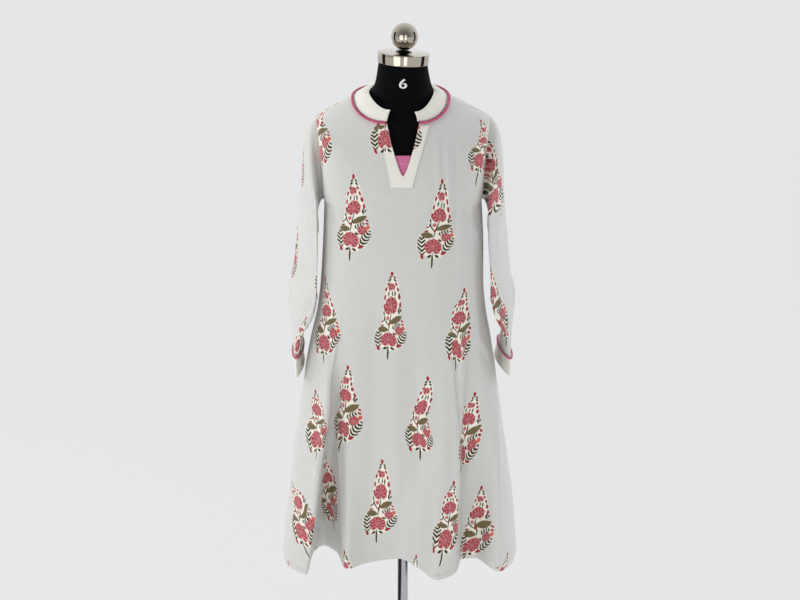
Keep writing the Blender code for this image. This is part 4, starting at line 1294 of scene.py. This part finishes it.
def band_size(piece, points, rows=None):
    """Prints and gives a band's length, over its first rows or all of them, its depth and its area."""
    girth = float(measure_round(points[:rows])[:, -1].max())
    deep = float(measure_down(points)[-1].mean())
    print(piece.name, "length", round(girth, 3), "deep", round(deep, 3), "area", round(grid_area(points), 4))
    return girth, deep, grid_area(points)


def cuff_cloth(side):
    points, _ = sleeve_grid(side, CUFF_LEVEL - 0.002, 1.0, 12)
    piece = lined_band("cuff_cloth_" + side, points, tube_normals(points), True, CLOTH, [PLAIN_COTTON])
    return piece, *band_size(piece, points)


sleeve_pieces = {side: sleeve_cloth(side) for side in SIDES}
cuff_pieces = {side: cuff_cloth(side) for side in SIDES}

# %% [markdown]
# ## Collar, placket and insert
# The stand collar is a band of two layers with a rolled top edge. Its inside is faced with the printed
# cloth, which shows at the back of the neck. The placket strip finishes the V and ends square below its
# tip, and a small pink piece behind the tip keeps the opening decent.

# %% Places round the neck and on the chest
COLLAR_END_ANGLE = 19.0
COLLAR_TOP_HALF_WIDTH = {"right": 0.073, "left": 0.066}
COLLAR_END_TOP = {"right": 1.4500, "left": 1.4462}
COLLAR_BOW = 0.003
COLLAR_MIDDLE_Y = -0.014


def ring_point(angle, level):
    """A point of the body round the neck: angle runs from the front centre, positive to the left."""
    return chest_point(abs(angle) <= 90.0, sin(radians(angle)), level)


def collar_top_point(side, angle):
    if angle < 90.0:
        turned = mix(21.7, 90.0, (angle - COLLAR_END_ANGLE) / (90.0 - COLLAR_END_ANGLE))
        z = mix(COLLAR_END_TOP[side], 1.478, ease((turned - 25.0) / 65.0))
    else:
        turned = angle
        z = mix(1.478, 1.508, ease((turned - 90.0) / 90.0))
    reach = 0.076 if turned < 90.0 else 0.084
    x = COLLAR_TOP_HALF_WIDTH[side] * sin(radians(turned))
    return Vector((x, COLLAR_MIDDLE_Y - reach * cos(radians(turned)), z))


def on_front(x, level, lift):
    """A point over the front panel at x, lifted along the panel's normal."""
    half = abs(edge_point(side_of(x), True, level).x)
    share = x / half
    point = chest_point(True, share, level)
    across = chest_point(True, (x + 0.004) / half, level) - chest_point(True, (x - 0.004) / half, level)
    down = chest_point(True, share, min(1.0, level + 0.02)) - chest_point(True, share, max(0.0, level - 0.02))
    normal = across.cross(down).normalized()
    if normal.y > 0:
        normal = -normal
    return point + normal * lift


def front_height(z):
    """The cloth's own height at a place near the front centre, where the panel leans back a little."""
    return UNDERARM_HEIGHT + (z - UNDERARM_HEIGHT) * 1.014


# %% Collar
def collar_cloth():
    columns, rows = 150, 12
    grid = []
    for row in range(rows + 1):
        up = row / rows
        line = []
        for column in range(columns + 1):
            turn = mix(COLLAR_END_ANGLE, 360.0 - COLLAR_END_ANGLE, column / columns)
            side = 1.0 if turn <= 180.0 else -1.0
            angle = turn if turn <= 180.0 else 360.0 - turn
            low = ring_point(angle * side, 0.0)
            low.x *= side
            high = collar_top_point("left" if side > 0 else "right", angle)
            low = low + (high - low).normalized() * (CLOTH / 2 + LAYER_GAP) + Vector((0.0, 0.0, LAYER_GAP))
            point = low.lerp(high, up)
            point.z += COLLAR_BOW * sin(pi * up)
            line.append((side * point.x, point.y, point.z))
        grid.append(line)
    points = np.array(grid)
    normals = turned_out(grid_normals(points), points, (0.0, COLLAR_MIDDLE_Y))
    layers = [PLAIN_COTTON, BACK_COTTON]
    piece = lined_band("collar_cloth", points, normals, False, COLLAR_CLOTH, layers, roll=1.15)
    length, deep, _ = band_size(piece, points, rows=1)
    return piece, (length, deep), points, normals


collar_piece, COLLAR_FLAT, collar_points, collar_normals = collar_cloth()

# %% Placket strip and insert
PLACKET_LEVELS = (0.045, 0.735)
PLACKET_TOP_HALF_WIDTH = 0.054
PLACKET_FOOT_HALF_WIDTH = {"right": 0.0255, "left": 0.0195}
INSERT_LEVELS = (0.372, 0.67)
INSERT_HALF_WIDTHS = (0.029, 0.012)


def placket_outer(side, level):
    top, foot = PLACKET_LEVELS
    half_widths = (PLACKET_TOP_HALF_WIDTH, 0.0395, PLACKET_FOOT_HALF_WIDTH[side])
    return read_curve((top, 0.33, foot), half_widths, level)


def placket_cloth():
    top, foot = PLACKET_LEVELS
    rows, columns = 48, 10
    lift = CLOTH / 2 + LAYER_GAP + STRIP_CLOTH / 2
    levels = [mix(top, foot, row / rows) for row in range(rows + 1)]
    snap_nearest(levels, V_TIP_LEVEL)
    bm = bmesh.new()
    area = 0.0
    for side, sign in SIDES.items():
        grid = []
        for level in levels:
            inner = v_half_width(chest_value("front_z", level))
            grid.append([on_front(sign * mix(inner, placket_outer(side, level), i / columns), level, lift)
                         for i in range(columns + 1)])
        points = np.array(grid)
        area += grid_area(points)
        add_patch(bm, points, *front_print(points[:, :, 0], front_height(points[:, :, 2]), side))
    piece = cloth_object("placket_cloth", bm, [PLACKET_COTTON], STRIP_CLOTH)
    print("placket area", round(area, 4))
    return piece, area


def insert_cloth():
    rows, columns = 16, 20
    drop = -(CLOTH / 2 + LAYER_GAP + STRIP_CLOTH / 2)
    grid = []
    for row in range(rows + 1):
        level = mix(*INSERT_LEVELS, row / rows)
        half = mix(*INSERT_HALF_WIDTHS, row / rows)
        grid.append([on_front(half * (2.0 * i / columns - 1.0), level, drop) for i in range(columns + 1)])
    points = np.array(grid)
    bm = bmesh.new()
    add_patch(bm, points, points[:, :, 0], points[:, :, 2])
    print("insert area", round(grid_area(points), 5))
    return cloth_object("insert_cloth", bm, [PINK_COTTON], STRIP_CLOTH), grid_area(points)


placket_piece, PLACKET_AREA = placket_cloth()
insert_piece, INSERT_AREA = insert_cloth()


# %% [markdown]
# ## Piping, seams and stitches
# Piping is a cord wrapped in a strip of rose cloth and caught in a seam. The seams themselves are thin
# ridges where two edges of cloth lie folded under. Stitches are short lengths of thread, sunk at both
# ends where the needle went through.

# %% Cords along a seam
def cord_piece(name, route, radius, closed, material, side_hint, sides=12):
    """A round cord along a route, its map in metres along and round it."""
    points = [Vector(point) for point in route]
    count = len(points)
    rings = []
    for i, point in enumerate(points):
        before = points[i - 1] if closed or i else point
        after = points[(i + 1) % count] if closed or i < count - 1 else point
        tangent = (after - before).normalized()
        first = tangent.cross(Vector(side_hint)).normalized()
        second = tangent.cross(first)
        rings.append([point + (first * cos(2 * pi * k / sides) + second * sin(2 * pi * k / sides)) * radius
                      for k in range(sides + 1)])
    if closed:
        rings.append(rings[0])
    grid = np.array(rings)
    along = np.broadcast_to(measure_down(grid)[:, :1], grid.shape[:2])
    round_it = np.broadcast_to(np.linspace(0.0, 2 * pi * radius, sides + 1)[None, :], grid.shape[:2])
    print(name, "length", round(float(along.max()), 3))
    bm = bmesh.new()
    add_patch(bm, grid, round_it, along)
    if not closed:
        close_holes(bm)
    return cloth_object(name, bm, [material])


def neck_piping():
    steps = 160
    route = []
    for i in range(steps + 1):
        turn = mix(COLLAR_END_ANGLE, 360.0 - COLLAR_END_ANGLE, i / steps)
        angle = turn if turn <= 180.0 else turn - 360.0
        level = mix(0.018, 0.009, abs(sin(radians(angle))))
        point = ring_point(angle, level)
        across = ring_point(angle + 2.0, level) - ring_point(angle - 2.0, level)
        normal = across.cross(ring_point(angle, level + 0.02) - point).normalized()
        if normal.z < 0:
            normal = -normal
        route.append(point + normal * (CLOTH / 2 + LAYER_GAP + PIPING_RADIUS))
    return cord_piece("collar_piping_cloth", route, PIPING_RADIUS, False, ROSE_PIPING, (0, 0, 1))


def sleeve_ring(side, level, count, lift):
    """Places round a sleeve at one level, lifted off the cloth, and the way outwards at each."""
    middle = (sleeve_point(side, level, 90.0) + sleeve_point(side, level, 270.0)) / 2
    route, normals = [], []
    for i in range(count + 1):
        turn = 360.0 * i / count
        point = sleeve_point(side, level, turn)
        tangent = sleeve_point(side, level, turn + 4.0) - sleeve_point(side, level, turn - 4.0)
        normal = tangent.cross(Vector((0.0, 0.0, 1.0))).normalized()
        if normal.dot(point - middle) < 0:
            normal = -normal
        route.append(point + normal * lift)
        normals.append(normal)
    return route, normals


def cuff_piping(side):
    route, _ = sleeve_ring(side, CUFF_LEVEL, 120, CLOTH / 2 + LAYER_GAP + CUFF_PIPING_RADIUS)
    name = "cuff_piping_cloth_" + side
    return cord_piece(name, route[:-1], CUFF_PIPING_RADIUS, True, ROSE_PIPING, (0, 0, 1))


SEAM_RADIUS = 0.0011
SIDE_SEAM_RADIUS = 0.0006


def armhole_seam(side):
    """The ridge where the sleeve is set into the body."""
    count = 120
    aside = Vector((SIDES[side] * 0.0006, 0.0, 0.0))
    route = [sleeve_point(side, 0.0, 360.0 * i / count) + aside for i in range(count)]
    return cord_piece("armhole_seam_" + side, route, SEAM_RADIUS, True, PLAIN_COTTON, (1, 0, 0), sides=10)


def shoulder_seam(side):
    """The ridge from the neck to the tip of the shoulder."""
    count = 40
    levels = [SHOULDER_TIP_LEVEL * mix(0.03, 1.0, i / count) for i in range(count + 1)]
    route = [(edge_point(side, True, level) + edge_point(side, False, level)) / 2 for level in levels]
    return cord_piece("shoulder_seam_" + side, route, SEAM_RADIUS, False, PLAIN_COTTON, (0, 1, 0), sides=10)


def side_seam(side):
    """The thin ridge from the underarm to the hem."""
    count = 90
    front, back = (len(FRONT_FOLDS) - 1, len(BACK_FOLDS) - 1) if side == "left" else (0, 0)
    heights = [mix(UNDERARM_HEIGHT - 0.004, HEM_HEIGHT + 0.001, i / count) for i in range(count + 1)]
    route = [(skirt_point(True, front, height) + skirt_point(False, back, height)) / 2 for height in heights]
    return cord_piece("side_seam_" + side, route, SIDE_SEAM_RADIUS, False, PLAIN_COTTON, (0, 1, 0), sides=8)


# %% Stitches
STITCH_PITCH = 0.0031
STITCH_LENGTH = 0.0022
STITCH_RADIUS = 0.00032
PALE_STITCH_RADIUS = 0.0005
CUFF_STITCH_LEVEL = 0.985


def stitch_run(name, route, normals, material, radius=STITCH_RADIUS):
    """Short threads along a route, each sunk at its two ends."""
    route = np.array([tuple(point) for point in route])
    normals = np.array([tuple(normal) for normal in normals])
    steps = np.linalg.norm(np.diff(route, axis=0), axis=1)
    walked = np.concatenate([[0.0], np.cumsum(steps)])
    starts = np.arange(STITCH_PITCH / 2, walked[-1] - STITCH_LENGTH, STITCH_PITCH)

    def at(distance):
        place = [np.interp(distance, walked, route[:, axis]) for axis in range(3)]
        up = [np.interp(distance, walked, normals[:, axis]) for axis in range(3)]
        return Vector(place), Vector(up).normalized()

    bm = bmesh.new()
    layer = bm.loops.layers.uv.verify()
    for start in starts:
        rings = []
        first, up = at(start)
        last, _ = at(start + STITCH_LENGTH)
        across = (last - first).cross(up).normalized()
        for share, sink, size in ((0.0, -1.2, 0.6), (0.25, 0.3, 1.0), (0.75, 0.3, 1.0), (1.0, -1.2, 0.6)):
            centre = first.lerp(last, share) + up * radius * sink
            rings.append([bm.verts.new(centre + (across * a + up * b) * radius * size)
                          for a, b in ((1, 0), (0, 1), (-1, 0), (0, -1))])
        for one, two in zip(rings[:-1], rings[1:]):
            for k in range(4):
                face = bm.faces.new((one[k], one[(k + 1) % 4], two[(k + 1) % 4], two[k]))
                face.smooth = True
        bm.faces.new(rings[0])
        bm.faces.new(rings[-1])
    for face in bm.faces:
        for loop in face.loops:
            loop[layer].uv = (loop.vert.co.x, loop.vert.co.z)
    print(name, "stitches", len(starts))
    return cloth_object(name, bm, [material])


def front_stitches(name, places, lift, material, radius=STITCH_RADIUS):
    """Stitches over the front, along places given as (x, level)."""
    route = [on_front(x, level, lift) for x, level in places]
    normals = [on_front(x, level, lift + 0.001) - on_front(x, level, lift) for x, level in places]
    return stitch_run(name, route, normals, material, radius)


def placket_stitches():
    top, foot = PLACKET_LEVELS
    cloth = (CLOTH / 2 + LAYER_GAP + STRIP_CLOTH, PLAIN_COTTON)
    made = []
    levels = [mix(top + 0.01, foot - 0.012, i / 60) for i in range(61)]
    for side, sign in SIDES.items():
        outer = [(sign * (placket_outer(side, level) - 0.0016), level) for level in levels]
        made.append(front_stitches("placket_stitches_" + side, outer, *cloth))
        inner = [level for level in levels if level < V_TIP_LEVEL - 0.004]
        edge = [(sign * (v_half_width(chest_value("front_z", level)) + 0.0016), level) for level in inner]
        made.append(front_stitches("v_stitches_" + side, edge, *cloth))
    first, last = 0.002 - placket_outer("right", foot), placket_outer("left", foot) - 0.002
    across = [(mix(first, last, i / 30), foot - 0.012) for i in range(31)]
    made.append(front_stitches("placket_foot_stitches", across, *cloth))
    return made


def hem_stitches(front):
    """The line that holds the turned hem, a centimetre above the edge."""
    folds = FRONT_FOLDS if front else BACK_FOLDS
    places, _ = fold_places(folds)
    height = HEM_HEIGHT + HEM_TURN - 0.0012
    route = [skirt_point(front, place, height) for place in places]
    normals = []
    for before, after in zip([route[0]] + route[:-1], route[1:] + [route[-1]]):
        across = after - before
        normal = Vector((across.y, -across.x, 0.0)).normalized()
        normals.append(normal if (normal.y < 0) == front or abs(normal.y) < 0.3 else -normal)
    lifted = [point + normal * (THIN_CLOTH / 2) for point, normal in zip(route, normals)]
    return stitch_run("hem_stitches_front" if front else "hem_stitches_back", lifted, normals, PLAIN_COTTON)


def cuff_stitches(side):
    route, normals = sleeve_ring(side, CUFF_STITCH_LEVEL, 160, CLOTH / 2)
    return stitch_run("cuff_stitches_" + side, route, normals, PLAIN_COTTON)


def collar_stitches(row, name):
    """A line of stitches along the collar, at a row of its grid."""
    route = collar_points[row] + collar_normals[row] * COLLAR_CLOTH / 2
    return stitch_run(name, route, collar_normals[row], PLAIN_COTTON)


def insert_stitches():
    level, half = 0.47, 0.021
    places = [(mix(-half, half, i / 20), level) for i in range(21)]
    under = -(CLOTH / 2 + LAYER_GAP)
    return front_stitches("insert_stitches", places, under, PALE_THREAD, PALE_STITCH_RADIUS)


finish_trim(neck_piping(), "collar_piping")
front_trims = placket_stitches()
hem_front = hem_stitches(True)
hem_back = hem_stitches(False)
collar_trims = [collar_stitches(11, "collar_top_stitches"), collar_stitches(1, "collar_foot_stitches")]
for trim in (*front_trims, hem_front, hem_back, *collar_trims):
    finish_trim(trim)
pink_trim = insert_stitches()
finish_trim(pink_trim)
shoulder_seams = [shoulder_seam(side) for side in SIDES]
side_seams = [side_seam(side) for side in SIDES]
for trim in (*shoulder_seams, *side_seams):
    finish_trim(trim)
for side in SIDES:
    finish_trim(cuff_piping(side), "cuff_piping_" + side)
    sleeve_seam = armhole_seam(side)
    finish_trim(sleeve_seam)
    cuff_trim = cuff_stitches(side)
    finish_trim(cuff_trim)
    piece, area, girth, length = sleeve_pieces[side]
    finish_sheet(piece, "sleeve_" + side)
    piece, girth, deep, area = cuff_pieces[side]
    finish_sheet(piece, "cuff_" + side)
finish_sheet(front_panel, "front_panel")
finish_sheet(back_panel, "back_panel")
finish_sheet(collar_piece, "collar_band")
finish_sheet(placket_piece, "placket_band")
finish_sheet(insert_piece, "v_insert")

# %% [markdown]
# ## The dress form
# The form is a torso covered in black jersey. Little of it shows: the neck, the throat in the V and a
# narrow view up the hem. A seam runs round the neck and another one down from it. The size number is
# a transfer print, a plain figure like the ones on a dial.

# %% Form body
FormRow = namedtuple("FormRow", "height half_width front back")
FORM_BODY = rows_of(FormRow, [
    (0.735, 0.120, 0.060, 0.078),
    (0.742, 0.136, 0.074, 0.092),
    (0.765, 0.150, 0.085, 0.104),
    (0.82, 0.160, 0.092, 0.108),
    (0.88, 0.160, 0.092, 0.104),
    (0.96, 0.146, 0.086, 0.092),
    (1.04, 0.128, 0.080, 0.078),
    (1.12, 0.136, 0.090, 0.082),
    (1.20, 0.148, 0.108, 0.090),
])
NECK_TOP_HEIGHT = 1.538
NECK_TOP_RADIUS = 0.0515
NECK_ROUNDNESS = 0.96
CAP_TILT = radians(3.5)
CAP_NOD = radians(3.5)
FORM_NECK = [(0.004, 0.0840), (0.03, 0.0740), (0.13, 0.0690), (0.22, 0.0660), (0.38, 0.0608), (0.55, 0.0574),
             (0.76, 0.0545), (1.00, NECK_TOP_RADIUS)]
FORM_CHEST_LEVELS = (0.92, 0.75, 0.55, 0.40, 0.30, 0.20, 0.10, 0.0)
FORM_SHOULDER_GAP = 0.0017
FORM_SEAM_DROP = 0.003
FORM_ROUNDNESS = 2.4
FORM_SIDES = 120
NECK_FOOT_Y = -0.009


def form_chest(share, front, level):
    """The form under the cloth: close below the shoulder seam, further in at chest and armhole."""
    cloth = chest_point(front, share, level)
    narrow = mix(1.0, 0.905, ease((level - 0.16) / 0.14))
    sink = mix(FORM_SHOULDER_GAP, 0.016, ease((level - 0.16) / 0.14) * ease((abs(share) - 0.5) / 0.5))
    sink += FORM_SEAM_DROP * max(0.0, 1.0 - level / 0.1)
    chest = mix(0.0, 0.085, ease((1.0 - abs(share)) * 2.5))
    return Vector((cloth.x * narrow, cloth.y * (1.0 - chest), cloth.z - sink))


def neck_radius(up):
    return read_curve([row[0] for row in FORM_NECK], [row[1] for row in FORM_NECK], up)


def neck_ring(angle, up):
    """A point of the form's neck, up running from the collar seam to the cap."""
    share = sin(radians(angle))
    front = cos(radians(angle)) >= 0.0
    half = neck_radius(up)
    depth = half * NECK_ROUNDNESS * cos(radians(angle))
    lean = -NECK_TOP_RADIUS * tan(CAP_TILT) * share - depth * tan(CAP_NOD)
    height = mix(form_chest(share, front, 0.0).z, NECK_TOP_HEIGHT + lean * up, up)
    return Vector((half * share, mix(NECK_FOOT_Y, 0.0, up) - depth, height))


def form_column(angle):
    """The points of one upright line of the form, from its foot to the top of the neck."""
    share = sin(radians(angle))
    front = cos(radians(angle)) >= 0.0
    line = []
    for row in FORM_BODY:
        depth = -row.front if front else row.back
        round_off = (1.0 - abs(share) ** FORM_ROUNDNESS) ** (1.0 / FORM_ROUNDNESS)
        line.append(Vector((row.half_width * share, depth * round_off, row.height)))
    line += [form_chest(share, front, level) for level in FORM_CHEST_LEVELS]
    knots = np.array([tuple(point) for point in line])
    fine = []
    for i in range((len(knots) - 1) * 4 + 1):
        fine.append([read_curve(range(len(knots)), knots[:, axis], i / 4) for axis in range(3)])
    fine += [tuple(neck_ring(angle, mix(0.004, 1.0, (i / 36) ** 1.4))) for i in range(37)]
    return fine


def jersey_material():
    made = plain_material("form_jersey", (0.0016, 0.0017, 0.0026), 0.72)
    r = Recipe(made.node_tree)
    place = r.put("TexCoord", {}, "Object")
    ribs = r.put("TexVoronoi", {"Vector": place, "Scale": 1400.0}, "Distance")
    soft = r.noise(place, 60.0, 3.0, dimensions="3D")
    height = r.math("MULTIPLY_ADD", ribs, 0.00012, r.math("MULTIPLY", soft, 0.0002))
    colour = r.blend(soft, (0.0010, 0.0011, 0.0018, 1.0), (0.0026, 0.0028, 0.0042, 1.0))
    r.shade({"Base Color": colour, "Normal": r.bump(height, 0.6), "Sheen Weight": 0.01,
             "Specular IOR Level": 0.07})
    return made


JERSEY = jersey_material()


def dress_form():
    lines = np.array([form_column(mix(-180.0, 180.0, i / FORM_SIDES)) for i in range(FORM_SIDES)])
    points = np.concatenate([lines, lines[:1]]).transpose(1, 0, 2)
    bm = bmesh.new()
    add_patch(bm, points, measure_across(points), points[:, :, 2])
    close_holes(bm)
    return cloth_object("form_body", bm, [JERSEY])


form_piece = dress_form()
finish_trim(form_piece, "dress_form")


# %% Seams of the form
def under_neck_seam(point):
    return point.z < 1.4655 + 0.20 * (point.y + 0.066)


def neck_seam():
    """The seam round the neck, lower in front."""
    route = []
    for i in range(96):
        angle = 360.0 * i / 96
        up = halve(0.02, 0.98, 24, lambda up: under_neck_seam(neck_ring(angle, up)))
        route.append(neck_ring(angle, up))
    return cord_piece("form_neck_seam", route, 0.0012, True, JERSEY, (0, 0, 1), sides=8)


def throat_seam():
    """The centre seam, from the neck seam down into the V."""
    upper = [neck_ring(0.0, mix(0.40, 0.01, i / 16)) for i in range(17)]
    lower = [form_chest(0.0, True, mix(0.01, 0.6, i / 20)) for i in range(21)]
    return cord_piece("form_throat_seam", upper + lower, 0.0006, False, JERSEY, (1, 0, 0), sides=8)


for seam in (neck_seam(), throat_seam()):
    finish_trim(seam)


# %% The size number
NUMBER_HEIGHT = 0.0195
NUMBER_WIDTH = 0.0168
NUMBER_PLACE = (0.0, 1.5010)


def size_number():
    text = add_primitive(bpy.ops.object.text_add, location=(0.0, 0.0, 0.0))
    text.data.body = "6"
    text.data.extrude = 0.02
    text.data.offset = 0.012
    text.data.resolution_u = 8
    bpy.ops.object.convert(target="MESH")
    piece = bpy.context.object
    piece.name = "size_number"
    points = np.array([tuple(vertex.co) for vertex in piece.data.vertices])
    low, high = points.min(axis=0), points.max(axis=0)
    share = (points - low) / (high - low) - 0.5
    for vertex, (across, upright, depth) in zip(piece.data.vertices, share):
        x = NUMBER_PLACE[0] + across * NUMBER_WIDTH
        z = NUMBER_PLACE[1] + upright * NUMBER_HEIGHT
        angle = degrees(asin(max(-1.0, min(1.0, x / 0.060))))
        up = halve(0.05, 0.98, 20, lambda up: neck_ring(angle, up).z < z)
        half = neck_radius(up)
        surface = mix(NECK_FOOT_Y, 0.0, up) - half * NECK_ROUNDNESS * (1.0 - (x / half) ** 2) ** 0.5
        vertex.co = (x, surface - 0.00015 - 0.0002 * (depth + 0.5), z)
    bm = bmesh.new()
    bm.from_mesh(piece.data)
    bmesh.ops.recalc_face_normals(bm, faces=bm.faces)
    bm.to_mesh(piece.data)
    bm.free()
    piece.data.materials.append(plain_material("white_transfer", (0.85, 0.87, 0.88), 0.5))
    return piece


finish_trim(size_number())


# %% [markdown]
# ## Metal
# Cap, ball, pole and base are turned and plated steel. They are modelled from primitives: a cylinder
# with its rims bevelled, a ball, and a disc with a raised middle. Chrome has no colour of its own, so
# its looks come from what stands around it, with faint marks in its polish.

# %% Chrome
def chrome_material(name, colour, roughness, streak):
    made = plain_material(name, colour, roughness, 1.0)
    r = Recipe(made.node_tree)
    stretched = r.put("Mapping", {"Vector": r.put("TexCoord", {}, "Object"), "Scale": streak})
    marks = r.noise(stretched, 1.0, 4.0, dimensions="3D")
    rough = r.math("MULTIPLY_ADD", marks, 0.10, roughness - 0.04)
    r.shade({"Roughness": rough, "Normal": r.bump(r.math("MULTIPLY", marks, 0.00002), 0.5)})
    return made


CHROME = chrome_material("chrome", (0.50, 0.455, 0.385), 0.06, (60.0, 60.0, 900.0))
POLE_CHROME = chrome_material("pole_chrome", (0.50, 0.51, 0.53), 0.14, (1500.0, 1500.0, 12.0))


def round_rims(piece, width, segments, sharpest):
    """Bevels the edges of a piece that turn by more than an angle."""
    bevel = piece.modifiers.new("rims", "BEVEL")
    bevel.width = width
    bevel.segments = segments
    bevel.limit_method = "ANGLE"
    bevel.angle_limit = sharpest
    make_active(piece)
    bpy.ops.object.modifier_apply(modifier=bevel.name)


def select_faces(piece, wanted):
    """In edit mode, selects the faces for which wanted(face) holds, and nothing else."""
    make_active(piece)
    bpy.ops.object.mode_set(mode="EDIT")
    bm = bmesh.from_edit_mesh(piece.data)
    bm.select_mode = {"FACE"}
    for face in bm.faces:
        face.select_set(wanted(face))
    bm.select_flush_mode()
    bmesh.update_edit_mesh(piece.data)


def lean_with_cap(piece):
    """Leans a piece with the cap about the top of the neck, in its own mesh."""
    pivot = Matrix.Translation((0.0, 0.0, NECK_TOP_HEIGHT))
    lean = Matrix.Rotation(CAP_NOD, 4, "X") @ Matrix.Rotation(CAP_TILT, 4, "Y")
    piece.data.transform(pivot @ lean @ pivot.inverted())


def settle(piece, name, material, lean=False):
    """Puts a primitive's place in its mesh, so that its object sits at the origin."""
    piece.name = name
    piece.data.transform(piece.matrix_world)
    piece.matrix_world = Matrix.Identity(4)
    if lean:
        lean_with_cap(piece)
    piece.data.materials.append(material)
    make_active(piece)
    bpy.ops.object.shade_smooth_by_angle(angle=radians(30))
    return piece


def turned_disc(name, radius, low, high, rim, material, lean=False, lip=None):
    """A disc with bevelled rims and, if a lip is given, a shallow dish in its top."""
    piece = add_primitive(bpy.ops.mesh.primitive_cylinder_add, vertices=128, radius=radius, depth=high - low,
                          location=(0.0, 0.0, (low + high) / 2))
    if lip:
        select_faces(piece, lambda face: face.normal.z > 0.9)
        bpy.ops.mesh.inset(thickness=lip[0], depth=lip[1])
        bpy.ops.object.mode_set(mode="OBJECT")
    round_rims(piece, rim, 4, radians(20))
    return settle(piece, name, material, lean)


# %% Cap, foot and ball
FACE_GAP = 0.0003
CAP_LOW = NECK_TOP_HEIGHT + FACE_GAP
CAP_HEIGHT = 0.022
BALL_RADIUS = 0.0285
FOOT_HEIGHT = 0.004
FOOT_HIGH = NECK_TOP_HEIGHT + CAP_HEIGHT + 2 * FACE_GAP + FOOT_HEIGHT

cap = turned_disc("cap_metal", 0.0545, CAP_LOW, CAP_LOW + CAP_HEIGHT, 0.0011, CHROME, lean=True)
finish_trim(cap, "neck_cap")


def finial_foot():
    """A short flared seat under the ball, spread out where it meets the cap."""
    piece = add_primitive(bpy.ops.mesh.primitive_cone_add, vertices=64, radius1=0.018, radius2=0.011,
                          depth=FOOT_HEIGHT, location=(0.0, 0.0, FOOT_HIGH - FOOT_HEIGHT / 2))
    round_rims(piece, 0.0007, 3, radians(30))
    return settle(piece, "foot_metal", plain_material("black_metal", (0.010, 0.009, 0.008), 0.3, 0.6), True)


finish_trim(finial_foot(), "finial_foot")


def finial_ball():
    centre = FOOT_HIGH + FACE_GAP + BALL_RADIUS
    ball = add_primitive(bpy.ops.mesh.primitive_uv_sphere_add, segments=64, ring_count=40, radius=BALL_RADIUS,
                         location=(0.0, 0.0, centre))
    return settle(ball, "ball_metal", CHROME, True)


finish_trim(finial_ball(), "finial_ball")

# %% Pole and base
BASE_HIGH = 0.012
POLE_HIGH = FORM_BODY[0].height - FACE_GAP
pole = turned_disc("pole_metal", 0.0125, BASE_HIGH + FACE_GAP, POLE_HIGH, 0.0006, POLE_CHROME)
finish_trim(pole, "stand_pole")
base = turned_disc("base_metal", 0.170, 0.0, BASE_HIGH, 0.0022, POLE_CHROME, lip=(0.010, -0.0012))
finish_trim(base, "stand_base")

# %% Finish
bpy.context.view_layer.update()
